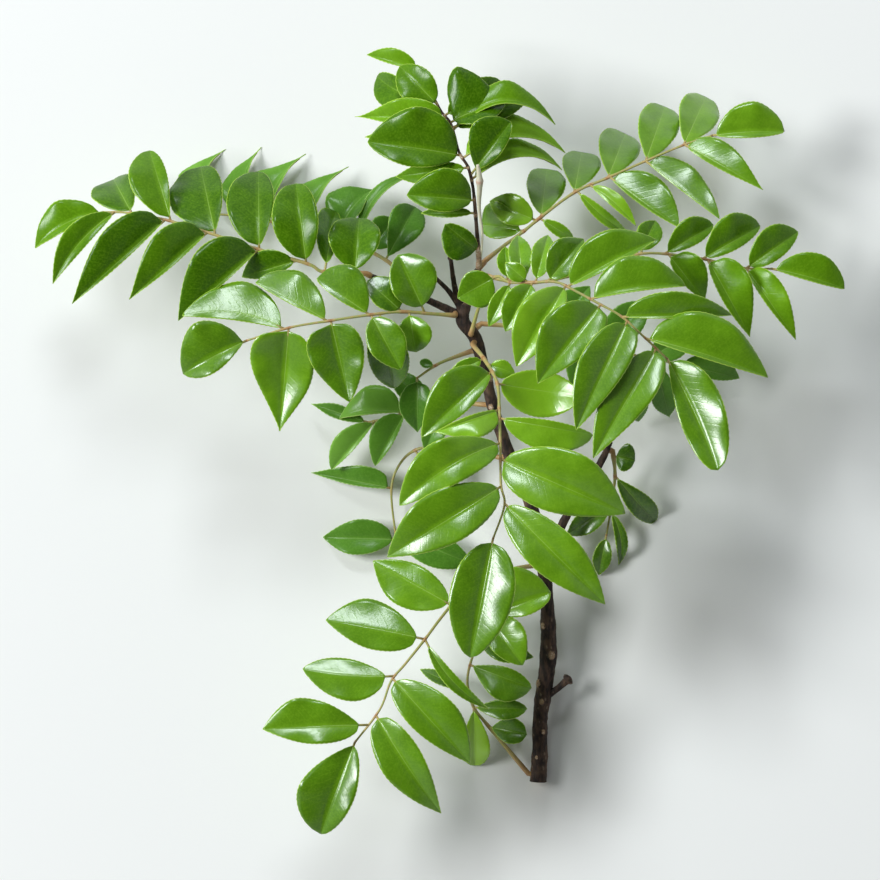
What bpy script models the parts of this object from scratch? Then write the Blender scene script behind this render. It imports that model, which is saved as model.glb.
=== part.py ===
"""A cut sprig of curry leaf lying on a surface: one woody stem and the compound leaves that grow from it.

Units are metres and +Z is up. The table data below is in millimetres, with X along the widest spread of the
leaves, Y from the cut end of the stem towards its crown, and Z the height above the surface.
"""

import math

import bmesh
import bpy
from mathutils import Vector
from mathutils.geometry import intersect_point_line

MM = 0.001

# ---------------------------------------------------------------- driving dimensions, in millimetres
CENTRE = (-0.3, -0.3)  # the middle of the sprig's outline, moved to the origin
BLADE_THICKNESS = 0.6
BLADE_LIFT = 0.3  # the height of the middle of a blade that lies flat on the surface
BLADE_FOLD = math.radians(16)  # how far each half of a blade rises from the midrib
BLADE_BOW = 0.09  # how far a blade arches, as a share of its length
BASE_SINK = 0.4  # how far a leaflet's foot runs into the rachis
RACHIS_FOOT_RADIUS = 1.25
RACHIS_TIP_RADIUS = 0.75

# A blade's outline: how far along it is, and its width there as a share of the widest.
BLADE_OUTLINE = ((0.0, 0.12), (0.16, 0.82), (0.42, 1.0), (0.74, 0.78), (1.0, 0.14))

# The main stem: points on its centreline and its radius at each.
STEM = (
    (39.6, -137.2, 3.6, 3.6),
    (40.2, -125.0, 5.0, 3.2),
    (40.4, -111.6, 6.8, 3.1),
    (42.0, -99.6, 9.0, 3.3),
    (43.6, -85.6, 11.5, 3.4),
    (43.2, -68.0, 14.5, 2.9),
    (41.0, -46.0, 18.0, 2.8),
    (36.0, -24.0, 23.0, 2.7),
    (28.0, -6.0, 29.0, 2.6),
    (22.0, 11.2, 34.0, 2.4),
    (18.4, 25.2, 39.5, 2.4),
    (14.4, 40.4, 43.5, 2.6),
    (9.2, 48.0, 45.0, 2.9),
    (10.0, 55.0, 46.0, 2.6),
)

# What else grows from the stem as wood: a name, then points and radii as above.
TWIGS = {
    "leader": ((9.6, 51.0, 45.5, 2.2), (12.6, 62.0, 48.5, 1.5), (15.4, 69.0, 50.5, 1.3)),
    "upright_twig": ((8.4, 52.0, 46.0, 1.7), (5.8, 62.0, 49.5, 1.1), (4.2, 73.2, 55.0, 0.8)),
    "short_twig": ((9.0, 52.0, 46.0, 1.5), (3.4, 60.0, 48.5, 1.0), (-3.6, 66.8, 51.0, 0.8)),
    "left_twig": ((9.0, 50.0, 45.0, 1.8), (-7.6, 57.6, 46.5, 1.3), (-18.0, 62.0, 46.0, 1.0), (-27.6, 66.0, 45.0, 1.1)),
    "side_branch": ((42.0, -50.0, 17.0, 2.2), (50.8, -30.4, 17.5, 1.7), (64.0, -9.6, 20.0, 1.5), (68.4, 0.0, 22.0, 1.1)),
    "pruned_stub": ((42.6, -103.0, 8.8, 1.6), (47.6, -99.4, 10.4, 1.3), (51.6, -95.8, 11.4, 1.7)),
}

# Each compound leaf. "rachis" is its centreline, foot first. Each leaflet is: foot x, y (moved to the nearest
# point of the rachis), tip x, y, z, width, and, where they aren't the usual ones, the arch as a share of the
# length and the x and y of the way its face leans.
FRONDS = {
    "frond_left_upper": {
        "rachis": (
            (-29.6, 67.0, 46.0), (-46.4, 67.6, 49.0), (-52.8, 70.8, 50.0), (-73.2, 76.8, 52.0),
            (-91.2, 82.8, 52.0), (-108.0, 88.0, 50.0), (-124.0, 91.2, 47.0), (-134.8, 91.6, 44.0),
        ),
        "leaflets": (
            (-134.8, 91.6, -162.0, 77.2, 42.0, 17.0, 0.2, -0.2, 0.9),
            (-130.0, 91.0, -154.8, 62.8, 49.0, 15.0),
            (-110.0, 88.0, -146.8, 54.8, 58.0, 21.0, 0.12, -0.3, 0.3),
            (-93.2, 82.6, -124.0, 56.4, 60.0, 20.0, 0.12, -0.3, 0.3),
            (-72.8, 75.6, -104.4, 48.0, 57.0, 23.0, 0.14, -0.4, 0.4),
            (-56.8, 72.8, -79.2, 65.6, 44.0, 14.0),
            (-123.2, 91.6, -131.0, 105.0, 20.0, 18.0, 0.3),
            (-107.6, 88.0, -116.4, 116.4, 32.0, 17.0, 0.2),
            (-89.6, 83.0, -96.0, 110.0, 26.0, 21.0, 0.25),
            (-72.0, 77.6, -72.8, 108.0, 28.0, 20.0, 0.25),
            (-53.2, 72.0, -57.6, 103.0, 30.0, 19.0, 0.25),
            (-34.0, 67.6, -32.4, 89.2, 26.0, 19.0, 0.25),
            (-46.0, 69.0, -42.0, 92.0, 27.0, 11.0),
        ),
    },
    "frond_left_rear": {
        "rachis": (
            (-8.0, 60.0, 40.0), (-24.0, 74.0, 28.0), (-50.0, 84.0, 17.0), (-78.0, 90.0, 9.0), (-98.0, 92.0, 5.0),
        ),
        "leaflets": (
            (-97.0, 92.0, -86.4, 117.6, -1.0, 13.0, 0.22, -0.9, 0.4),
            (-80.0, 90.0, -72.0, 118.4, 0.0, 14.0, 0.16, -0.9, 0.4),
            (-70.0, 88.6, -54.0, 115.6, 2.0, 15.0, 0.16, -0.9, 0.4),
            (-54.0, 85.0, -36.8, 110.4, 6.0, 13.0, 0.16, -0.9, 0.4),
            (-42.0, 80.0, -27.0, 101.0, 12.0, 15.0, 0.14, -0.6, 0.3),
            (-29.0, 76.0, -18.0, 89.0, 20.0, 11.0),
            (-33.0, 77.6, -4.8, 108.4, 13.0, 11.0, 0.14, -0.5, 0.8),
            (-22.0, 72.4, -10.0, 94.0, 20.0, 13.0),
        ),
    },
    "frond_left_lower": {
        "rachis": (
            (6.0, 50.2, 49.4), (-2.8, 50.8, 54.0), (-15.2, 51.6, 59.0), (-27.6, 50.4, 63.0),
            (-43.6, 48.0, 66.0), (-60.0, 45.2, 67.0), (-77.2, 40.0, 65.0),
        ),
        "leaflets": (
            (-62.0, 44.8, -102.8, 50.0, 66.0, 21.0, 0.16, 0.0, 0.8),
            (-44.8, 48.0, -73.6, 63.2, 72.0, 17.0, 0.12, 0.0, 0.4),
            (-28.0, 50.4, -48.0, 64.0, 66.0, 16.0),
            (-15.2, 51.6, -29.0, 64.0, 63.0, 15.0),
            (-6.0, 51.0, -19.0, 73.0, 60.0, 16.0),
            (-77.2, 40.0, -102.4, 26.8, 64.0, 22.0, 0.14, -0.4, 0.2),
            (-60.4, 45.2, -64.0, 4.0, 60.0, 25.0),
            (-43.6, 48.0, -36.0, 15.6, 62.0, 22.0),
            (-27.6, 50.4, -15.6, 28.4, 63.0, 17.0),
            (-24.0, 50.0, -18.4, 21.2, 46.0, 13.0),
            (-12.4, 51.4, -9.6, 35.6, 56.0, 14.0),
        ),
    },
    "frond_top": {
        "rachis": (
            (15.6, 71.8, 52.4), (14.4, 88.0, 58.0), (13.2, 100.8, 62.0), (11.2, 109.2, 64.0),
            (7.6, 115.2, 65.0), (4.4, 126.4, 64.0), (0.0, 132.4, 62.0), (-8.0, 148.4, 55.0),
        ),
        "leaflets": (
            (-8.0, 148.4, -29.2, 154.4, 48.0, 11.0),
            (-1.0, 134.0, -16.0, 149.6, 57.0, 17.0),
            (-2.0, 135.6, -25.0, 146.0, 46.0, 12.0),
            (3.0, 129.0, -34.0, 129.6, 52.0, 11.0),
            (6.0, 120.0, -30.0, 121.6, 45.0, 9.0),
            (6.8, 113.0, -28.8, 119.2, 68.0, 21.0, 0.16, 0.0, 0.5),
            (11.0, 109.0, -17.6, 105.6, 56.0, 10.0),
            (13.4, 96.0, -13.2, 98.0, 66.0, 20.0, 0.14, 0.0, 0.4),
            (14.2, 91.0, -7.6, 91.0, 53.0, 8.0),
            (4.4, 127.2, 26.0, 134.0, 60.0, 16.0, 0.14, 0.0, 0.5),
            (2.0, 130.0, 24.0, 144.0, 52.0, 10.0),
            (5.0, 124.0, 46.0, 126.4, 55.0, 15.0, 0.24, 0.0, 0.9),
            (4.8, 125.0, 36.0, 137.6, 48.0, 10.0),
            (12.0, 106.0, 26.0, 128.8, 68.0, 16.0),
            (9.0, 112.8, 50.0, 115.2, 50.0, 14.0, 0.16, 0.0, 0.8),
            (12.6, 104.4, 48.8, 108.4, 45.0, 13.0, 0.2, 0.0, 0.8),
            (15.2, 76.0, 2.0, 86.5, 62.0, 14.0),
        ),
    },
    "frond_right_upper": {
        "rachis": (
            (18.2, 72.2, 47.0), (26.0, 78.4, 46.0), (33.6, 84.0, 45.0), (40.4, 89.6, 44.0), (54.0, 99.6, 43.0),
            (66.8, 105.2, 42.0), (81.2, 111.6, 41.0), (97.2, 118.4, 40.0), (109.2, 122.4, 39.0),
        ),
        "leaflets": (
            (109.2, 122.4, 138.0, 124.0, 36.0, 15.0, 0.18, 0.0, 0.9),
            (98.0, 118.4, 129.2, 100.4, 44.0, 14.0, 0.14, 0.4, 0.5),
            (82.4, 112.0, 111.6, 88.8, 46.0, 14.0, 0.14, 0.4, 0.5),
            (68.0, 105.6, 95.2, 85.6, 47.0, 15.0),
            (60.0, 102.4, 78.4, 86.0, 46.0, 8.0),
            (55.0, 99.8, 76.0, 82.8, 34.0, 7.0),
            (97.6, 118.4, 103.4, 137.2, 16.0, 16.0, 0.25),
            (82.4, 112.0, 87.0, 134.0, 16.0, 16.0, 0.25),
            (67.2, 105.4, 72.0, 123.2, 16.0, 17.0, 0.25),
            (53.6, 99.4, 57.0, 116.0, 18.0, 15.0, 0.25),
            (40.4, 89.6, 43.0, 109.2, 20.0, 15.0, 0.2),
            (40.0, 89.0, 54.0, 80.4, 39.0, 6.0),
            (38.8, 88.0, 20.0, 96.0, 40.0, 14.0),
            (33.6, 84.0, 19.6, 86.4, 34.0, 14.0),
        ),
    },
    "frond_right_middle": {
        "rachis": (
            (17.6, 66.4, 50.6), (27.0, 64.0, 54.0), (38.0, 63.2, 57.0), (54.0, 66.4, 59.0), (71.2, 72.4, 60.0),
            (84.0, 75.0, 60.0), (104.4, 72.8, 58.0), (120.8, 69.2, 56.0), (132.8, 68.8, 54.0),
        ),
        "leaflets": (
            (132.8, 68.8, 161.6, 60.8, 50.0, 15.0, 0.16, 0.2, 0.8),
            (122.4, 69.4, 143.2, 83.6, 46.0, 14.0),
            (104.8, 72.8, 128.0, 86.0, 46.0, 15.0),
            (89.6, 74.8, 109.2, 86.4, 50.0, 13.0),
            (80.0, 74.4, 86.0, 88.0, 52.0, 11.0),
            (122.4, 69.0, 142.0, 40.4, 58.0, 13.0),
            (106.8, 72.4, 123.6, 41.6, 58.0, 17.0, 0.12, 0.5, 0.2),
            (91.2, 74.4, 105.6, 56.0, 55.0, 15.0),
            (27.0, 64.0, 26.0, 77.6, 50.0, 8.0),
        ),
    },
    "frond_right_front": {
        "rachis": (
            (12.4, 42.6, 48.4), (14.4, 50.0, 51.4), (17.0, 58.0, 57.0), (19.6, 63.6, 63.0), (23.4, 65.6, 69.0),
            (28.0, 63.2, 73.6), (38.0, 63.2, 78.0), (46.4, 63.2, 80.0), (54.0, 59.6, 82.0), (62.8, 54.8, 84.0),
            (72.0, 49.6, 85.0), (80.0, 42.4, 85.0), (90.4, 32.6, 82.0),
        ),
        "leaflets": (
            (42.8, 63.2, 57.2, 80.4, 72.0, 16.0),
            (50.8, 61.6, 86.0, 80.0, 74.0, 19.0, 0.14, -0.4, 0.5),
            (60.0, 56.8, 97.6, 61.6, 79.0, 19.0, 0.1, 0.0, 0.4),
            (72.4, 49.4, 116.0, 50.0, 78.0, 16.0),
            (82.0, 41.0, 130.4, 25.2, 78.0, 22.0, 0.16, 0.2, 0.7),
            (90.4, 32.6, 110.4, -11.6, 84.0, 23.0, 0.14, 0.7, 0.2),
            (33.0, 63.0, 31.0, 82.0, 64.0, 10.0),
            (38.0, 63.2, 43.0, 82.0, 66.0, 10.0),
            (35.0, 63.0, 26.0, 71.0, 77.0, 8.0),
            (22.0, 66.0, 7.0, 57.0, 64.0, 15.0),
            (28.0, 62.8, 19.4, 45.6, 74.0, 9.0),
            (37.0, 63.2, 26.0, 43.6, 80.0, 13.0),
            (50.0, 61.8, 30.4, 29.6, 88.0, 16.0),
            (64.0, 54.4, 38.8, 22.8, 93.0, 21.0),
            (74.4, 47.6, 54.0, 4.4, 96.0, 18.0),
            (86.0, 36.8, 60.8, -6.8, 93.0, 17.0),
        ),
    },
    "frond_centre_front": {
        "rachis": (
            (13.0, 38.6, 48.0), (18.4, 31.6, 61.0), (22.8, 22.8, 74.0), (23.6, 10.8, 82.0),
            (24.0, -2.4, 86.0), (24.2, -17.2, 88.0), (25.6, -25.6, 88.0), (21.0, -39.0, 88.0),
        ),
        "leaflets": (
            (20.4, 27.6, -7.2, 1.6, 74.0, 18.0),
            (23.6, 12.4, -2.0, 3.6, 88.0, 11.0, 0.12),
            (24.0, -0.8, -16.0, -25.6, 88.0, 18.0),
            (24.2, -18.0, -20.8, -46.0, 84.0, 19.0),
            (21.0, -39.0, 12.0, -86.0, 86.0, 27.0, 0.1, -0.2, 0.0),
            (22.8, 22.8, 56.0, 17.6, 68.0, 18.0),
            (23.6, 9.0, 60.8, 2.4, 75.0, 15.0),
            (24.1, -7.2, 73.6, -28.8, 84.0, 22.0),
            (25.4, -24.8, 65.6, -64.8, 86.0, 20.0),
            (18.8, 30.8, 30.0, 26.8, 62.0, 8.0),
            (17.6, 33.0, 3.0, 26.0, 60.0, 7.0),
        ),
    },
    "frond_lower_left": {
        "rachis": (
            (38.6, -50.0, 21.0), (26.0, -52.0, 33.0), (12.0, -57.6, 44.0), (1.6, -69.2, 52.0), (-6.0, -79.2, 55.0),
            (-14.0, -89.2, 56.0), (-19.6, -96.0, 56.0), (-24.0, -107.2, 55.0), (-34.0, -120.4, 52.0),
        ),
        "leaflets": (
            (4.4, -65.6, -26.8, -48.0, 56.0, 19.0, 0.12, 0.2, 0.4),
            (-6.0, -79.2, -45.6, -71.6, 60.0, 21.0, 0.12, 0.0, 0.3),
            (-18.0, -94.0, -54.8, -91.0, 60.0, 19.0, 0.1, 0.0, -0.2),
            (-29.0, -113.0, -70.8, -115.2, 56.0, 20.0, 0.12, 0.0, 0.5),
            (-34.0, -120.4, -47.6, -157.2, 46.0, 23.0, 0.16, -0.7, 0.3),
            (-25.6, -109.6, 0.4, -148.8, 48.0, 20.0, 0.12, 0.0, -0.2),
            (-18.4, -95.2, 12.0, -128.8, 52.0, 20.0),
            (-6.0, -79.2, 19.6, -107.2, 52.0, 16.0),
        ),
    },
    "frond_base_rear": {
        "rachis": (
            (35.6, -134.0, 4.0), (19.2, -114.4, 11.0), (13.2, -106.4, 14.0), (11.0, -96.0, 16.0),
            (14.0, -84.0, 18.0), (20.0, -70.0, 20.0),
        ),
        "leaflets": (
            (20.0, -115.0, 35.0, -118.0, 17.0, 11.0),
            (14.0, -107.0, 35.0, -107.6, 18.0, 10.0),
            (12.0, -90.0, 36.8, -99.2, 20.0, 17.0),
            (15.6, -80.0, 37.6, -86.8, 22.0, 10.0),
            (19.0, -71.0, 33.2, -90.0, 26.0, 15.0),
            (20.0, -70.0, 46.0, -67.6, 26.0, 16.0),
            (13.6, -107.0, 14.0, -130.8, 0.0, 9.0),
            (11.6, -100.0, -8.0, -92.0, 4.0, 13.0),
        ),
    },
    "frond_left_back": {
        "rachis": ((18.4, 14.6, 31.4), (4.0, 15.0, 25.0), (-10.0, 12.5, 20.0), (-20.0, 9.5, 16.0), (-29.0, 7.5, 12.0)),
        "leaflets": (
            (-14.0, 11.6, -40.4, 9.0, 13.0, 14.0, 0.14, 0.0, 0.5),
            (-29.0, 7.5, -52.0, 15.0, 6.0, 7.0),
            (-26.0, 8.0, -43.6, -11.6, 9.0, 14.0),
            (-14.0, 11.6, -26.0, -10.0, 17.0, 13.0),
            (2.0, 14.6, -6.0, -4.0, 23.0, 11.0),
            (-4.0, 13.8, -20.0, 28.0, 20.0, 11.0),
        ),
    },
    "frond_left_low": {
        "rachis": (
            (23.6, -6.6, 26.4), (8.0, -2.0, 20.0), (-8.0, -3.0, 15.0), (-16.0, -9.0, 10.0), (-19.6, -20.0, 8.0),
            (-17.6, -39.6, 4.0),
        ),
        "leaflets": (
            (-19.6, -19.0, -52.0, -12.8, -1.0, 11.0, 0.05),
            (-17.6, -39.6, -47.2, -38.8, -1.0, 16.0),
            (-17.8, -37.0, 14.0, -50.0, 3.0, 14.0),
            (-10.0, -4.0, 4.0, -20.0, 8.0, 13.0),
        ),
    },
    "frond_right_rear": {
        "rachis": (
            (69.4, -4.0, 18.4), (70.4, -14.0, 13.0), (69.0, -26.0, 9.0), (67.0, -38.0, 6.0),
        ),
        "leaflets": (
            (69.8, -6.0, 76.0, 6.0, 18.0, 11.0),
            (70.4, -14.0, 86.4, -32.8, -1.0, 14.0),
            (68.6, -28.0, 72.0, -50.0, 0.0, 10.0),
            (67.0, -38.0, 64.0, -54.0, 1.0, 9.0),
            (69.0, -26.0, 51.0, -38.0, 4.0, 10.0),
        ),
    },
    "frond_right_pale": {
        "rachis": (
            (16.6, 47.0, 42.0), (36.0, 45.0, 41.0), (58.0, 40.0, 36.0), (80.0, 34.0, 28.0), (96.0, 31.0, 21.0),
        ),
        "leaflets": (
            (84.0, 33.2, 102.0, 44.0, 26.0, 13.0),
            (96.0, 31.0, 120.4, 25.2, 12.0, 13.0),
            (86.0, 33.0, 92.4, 9.6, 0.0, 14.0),
            (72.0, 36.6, 80.0, 8.0, 4.0, 14.0),
            (64.0, 38.6, 84.0, 56.0, 30.0, 15.0),
            (52.0, 41.4, 62.0, 16.0, 20.0, 14.0),
            (44.0, 43.4, 60.0, 62.0, 38.0, 15.0),
        ),
    },
    "frond_young_left": {
        "rachis": ((12.6, 36.0, 41.6), (0.0, 31.2, 42.0), (-9.2, 25.2, 40.0)),
        "leaflets": (
            (-9.2, 25.2, -9.0, 3.6, 36.0, 13.0),
            (-2.0, 30.2, -13.0, 33.0, 40.0, 7.0),
        ),
    },
}

# The pale young shoot: points and radii as for the stem.
YOUNG_SHOOT = ((15.6, 93.0, 62.4, 0.8), (15.8, 103.6, 70.0, 1.3), (15.0, 110.0, 73.0, 0.7))

MATERIALS = {
    "bark": ((0.032, 0.019, 0.013, 1.0), 0.75),
    "leaf": ((0.09, 0.25, 0.022, 1.0), 0.3),
    "leaf_pale": ((0.2, 0.38, 0.1, 1.0), 0.45),
    "young_shoot": ((0.36, 0.5, 0.16, 1.0), 0.5),
}


# ---------------------------------------------------------------- tools


def clear_scene():
    for thing in list(bpy.data.objects):
        bpy.data.objects.remove(thing, do_unlink=True)
    for group in list(bpy.data.collections):
        bpy.data.collections.remove(group)


def make_material(name):
    colour, roughness = MATERIALS[name]
    material = bpy.data.materials.new(name)
    material.use_nodes = True
    shader = material.node_tree.nodes["Principled BSDF"]
    shader.inputs["Base Color"].default_value = colour
    shader.inputs["Roughness"].default_value = roughness
    shader.inputs["Metallic"].default_value = 0.0
    return material


def new_collection(name, parent=None):
    group = bpy.data.collections.new(name)
    (parent or bpy.context.scene.collection).children.link(group)
    return group


def place(point):
    """A point of the tables in metres, with the sprig's middle over the origin."""
    return Vector((point[0] - CENTRE[0], point[1] - CENTRE[1], point[2])) * MM


def smooth_line(points, steps):
    """A Catmull-Rom curve through the points, each a tuple of any length, with so many steps between each two."""
    ends = [points[0], *points, points[-1]]
    line = []
    for i in range(1, len(ends) - 2):
        before, a, b, after = ends[i - 1 : i + 3]
        for k in range(steps):
            t = k / steps
            line.append(
                tuple(
                    0.5 * (2 * q + (r - p) * t + (2 * p - 5 * q + 4 * r - s) * t * t + (3 * q - p - 3 * r + s) * t**3)
                    for p, q, r, s in zip(before, a, b, after)
                )
            )
    line.append(tuple(points[-1]))
    return line


def tube(name, line, sides, group):
    """A closed tapering tube along line, whose points are x, y, z and radius in millimetres."""
    curve = bpy.data.curves.new(name, "CURVE")
    curve.dimensions = "3D"
    curve.bevel_depth = MM
    curve.bevel_resolution = (sides - 4) // 2
    curve.use_fill_caps = True
    spline = curve.splines.new("POLY")
    spline.points.add(len(line) - 1)
    for point, (x, y, z, radius) in zip(spline.points, line):
        point.co = (*place((x, y, z)), 1.0)
        point.radius = radius
    source = bpy.data.objects.new(name + "_curve", curve)
    group.objects.link(source)
    bpy.context.view_layer.update()
    evaluated = source.evaluated_get(bpy.context.evaluated_depsgraph_get())
    mesh = bpy.data.meshes.new_from_object(evaluated)
    mesh.name = name
    shape = bmesh.new()
    shape.from_mesh(mesh)
    bmesh.ops.remove_doubles(shape, verts=shape.verts, dist=0.00001)
    bmesh.ops.recalc_face_normals(shape, faces=shape.faces)
    shape.to_mesh(mesh)
    shape.free()
    mesh.materials.clear()
    piece = bpy.data.objects.new(name, mesh)
    piece.matrix_world = source.matrix_world
    group.objects.link(piece)
    bpy.data.objects.remove(source, do_unlink=True)
    bpy.data.curves.remove(curve)
    return piece


def foot_on(line, x, y):
    """The point of the rachis nearest to x, y as seen from above, with its height."""
    best = None
    here = Vector((x, y))
    for a, b in zip(line, line[1:]):
        near, share = intersect_point_line(here, Vector(a[:2]), Vector(b[:2]))
        share = min(max(share, 0.0), 1.0)
        point = Vector(a[:3]).lerp(Vector(b[:3]), share)
        away = (point.xy - here).length
        if best is None or away < best[0]:
            best = (away, point)
    return best[1]


def blade(name, foot, leaflet, group):
    """One leaflet: a grid drawn out to the blade's outline, arched along its length and folded at the midrib."""
    tip = Vector(leaflet[2:5])
    width = leaflet[5]
    arch = leaflet[6] if len(leaflet) > 6 else BLADE_BOW
    lean = leaflet[7:9] if len(leaflet) > 8 else (0.0, 0.0)
    along = (tip - foot).normalized()
    start = foot - along * BASE_SINK
    length = (tip - start).length
    facing = Vector((*lean, 1.0))
    facing = (facing - along * facing.dot(along)).normalized()
    side = along.cross(facing)
    rows = len(BLADE_OUTLINE)
    shape = bmesh.new()
    bmesh.ops.create_grid(shape, x_segments=rows - 1, y_segments=2, size=1.0)
    for vertex in shape.verts:
        row = round((vertex.co.x + 1) * (rows - 1) / 2)
        across = round(vertex.co.y)
        share, spread = BLADE_OUTLINE[row]
        half = 0.5 * width * spread
        rise = 4 * arch * length * share * (1 - share) + half * math.sin(BLADE_FOLD) * abs(across)
        point = start + along * length * share + side * half * math.cos(BLADE_FOLD) * across + facing * rise
        point.z = max(point.z, BLADE_LIFT)
        vertex.co = place(point)
    mesh = bpy.data.meshes.new(name)
    shape.to_mesh(mesh)
    shape.free()
    piece = bpy.data.objects.new(name, mesh)
    group.objects.link(piece)
    shell = piece.modifiers.new("thickness", "SOLIDIFY")
    shell.thickness = BLADE_THICKNESS * MM
    shell.offset = 0.0
    hide(piece)
    return piece


def hide(piece):
    piece.hide_render = True
    piece.display_type = "WIRE"


def join(piece, group):
    """Makes one body of the piece and everything in the group."""
    union = piece.modifiers.new("union", "BOOLEAN")
    union.operation = "UNION"
    union.solver = "EXACT"
    union.operand_type = "COLLECTION"
    union.collection = group


def radii(line, first, last):
    """The line with a radius added to each point, from first to last."""
    steps = len(line) - 1
    return [(*point, first + (last - first) * i / steps) for i, point in enumerate(line)]


def make_stem(parts, helpers, material):
    stem = tube("woody_stem", smooth_line(STEM, 2), 8, parts)
    wood = new_collection("stem_twigs", helpers)
    for name, points in TWIGS.items():
        hide(tube(name, smooth_line(points, 2), 6, wood))
    join(stem, wood)
    stem.data.materials.append(material)


def make_frond(name, frond, parts, helpers, material):
    line = frond["rachis"]
    rachis = tube(name, radii(line, RACHIS_FOOT_RADIUS, RACHIS_TIP_RADIUS), 6, parts)
    blades = new_collection(name + "_blades", helpers)
    for number, leaflet in enumerate(frond["leaflets"]):
        blade(f"{name}_blade_{number}", foot_on(line, *leaflet[:2]), leaflet, blades)
    join(rachis, blades)
    rachis.data.materials.append(material)


def main():
    clear_scene()
    parts = new_collection("curry_leaf_sprig")
    helpers = new_collection("helpers")
    materials = {name: make_material(name) for name in MATERIALS}
    make_stem(parts, helpers, materials["bark"])
    pale = ("frond_left_rear", "frond_right_pale", "frond_left_back", "frond_left_low", "frond_young_left")
    for name, frond in FRONDS.items():
        make_frond(name, frond, parts, helpers, materials["leaf_pale" if name in pale else "leaf"])
    shoot = tube("young_shoot", smooth_line(YOUNG_SHOOT, 3), 6, parts)
    shoot.data.materials.append(materials["young_shoot"])


if __name__ == "__main__":
    main()
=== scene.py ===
"""Draws a cut sprig of curry leaf lying on a surface, over the fixed frame of its CAD model."""

import math
import random
from collections import namedtuple
from functools import partial

import bmesh
import bpy
from mathutils import Matrix, Vector, noise
from mathutils.geometry import intersect_point_line


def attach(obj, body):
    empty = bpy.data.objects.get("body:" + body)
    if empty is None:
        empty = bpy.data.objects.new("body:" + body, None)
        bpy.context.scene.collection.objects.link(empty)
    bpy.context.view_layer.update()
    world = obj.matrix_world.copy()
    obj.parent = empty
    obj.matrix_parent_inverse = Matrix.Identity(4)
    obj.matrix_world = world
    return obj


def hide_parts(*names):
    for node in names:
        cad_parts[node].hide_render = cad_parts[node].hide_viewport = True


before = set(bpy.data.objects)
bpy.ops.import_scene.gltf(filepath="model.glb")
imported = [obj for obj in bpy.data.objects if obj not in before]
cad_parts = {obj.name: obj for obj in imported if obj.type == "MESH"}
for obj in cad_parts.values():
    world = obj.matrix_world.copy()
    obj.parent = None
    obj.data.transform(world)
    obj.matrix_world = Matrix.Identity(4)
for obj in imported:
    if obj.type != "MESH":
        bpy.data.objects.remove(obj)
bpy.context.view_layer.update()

bl_info = {
    "name": "Curry Leaf Sprig",
    "version": (1, 0, 0),
    "blender": (4, 5, 0),
    "location": "3D View > Sidebar > Sprig",
    "description": "Builds a cut sprig of curry leaf with its stem, compound leaves and young shoot",
    "category": "Object",
}

MM = 0.001
CENTRE = (-0.3, -0.3)  # the sprig's middle in the tables below, in millimetres
SURFACE_LIFT = 0.3  # how high the middle of a blade lies when it rests on the surface, in millimetres
BLADE_SLANT = math.cos(math.radians(16))  # how much narrower a blade looks for its halves' slant
BLADE_BOW = 0.1  # how high a midrib bows in its middle, as a share of its length
BLADE_RISE = 0.62  # how steeply a blade's half rises from the midrib, as a share of its width
BLADE_CROWN = 0.26  # how much of that it loses again by the edge
EDGE_WAVES = 2.475  # along a blade's edge
FOOT_NARROWING = 0.56  # how fast a blade narrows to its foot, as a form's tip says it for the tip
MIDRIB_DEPTH = 0.34  # how far a midrib's middle lies under the blade, in millimetres
MIDRIB_END = 0.9  # where a midrib has thinned away, as a share of the blade's length
MIDRIB_STEPS = 8
BLADE_COLUMNS = (0.0, 0.16, 0.38, 0.62, 0.84, 1.0)  # where points lie from the midrib to the edge
PETIOLULE = 1.5  # from the rachis to where a blade begins, in millimetres
VEIN_SPACING = 3.1  # between side veins along a blade, in millimetres
VEIN_SLANT = 0.75  # how far a side vein runs towards the tip for each millimetre outwards
RACHIS_STEPS = 6  # in a rachis, between two points of its table
STALK_RADIUS = 0.74  # of a leaf's stalk where it leaves the wood, in millimetres
STALK_TAPER = 0.46  # how much of that it loses by its tip
STALK_BASE = 1.45  # how much thicker its swollen foot is
STALK_JOINT = 1.28  # and where a leaflet joins it
SHOOT_STEPS = 10  # in the young shoot, between two points
SHOOT_JOINT = 3  # the point of the young shoot, counted from 0, where its leaf joint is
SCAR_SIDES = 14
CAMERA_PLACE = (0.0003, 0.0007, 6.0)  # in metres, so far up that low leaves hardly shift
LENS = 608.8  # the camera's focal length and the width of its sensor, in millimetres
SENSOR = 36.0

# The main stem: points on its centreline and its radius at each.
STEM = (
    (39.6, -137.2, 3.6, 3.6),
    (40.2, -125.0, 5.0, 3.2),
    (40.4, -111.6, 6.8, 3.1),
    (42.0, -99.6, 9.0, 3.3),
    (43.6, -85.6, 11.5, 3.4),
    (43.2, -68.0, 14.5, 2.9),
    (41.0, -46.0, 18.0, 2.8),
    (36.0, -24.0, 23.0, 2.7),
    (28.0, -6.0, 29.0, 2.6),
    (22.0, 11.2, 34.0, 2.4),
    (18.4, 25.2, 39.5, 2.4),
    (14.4, 40.4, 43.5, 2.6),
    (9.2, 48.0, 45.0, 2.9),
    (10.0, 55.0, 46.0, 2.6),
)

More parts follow.
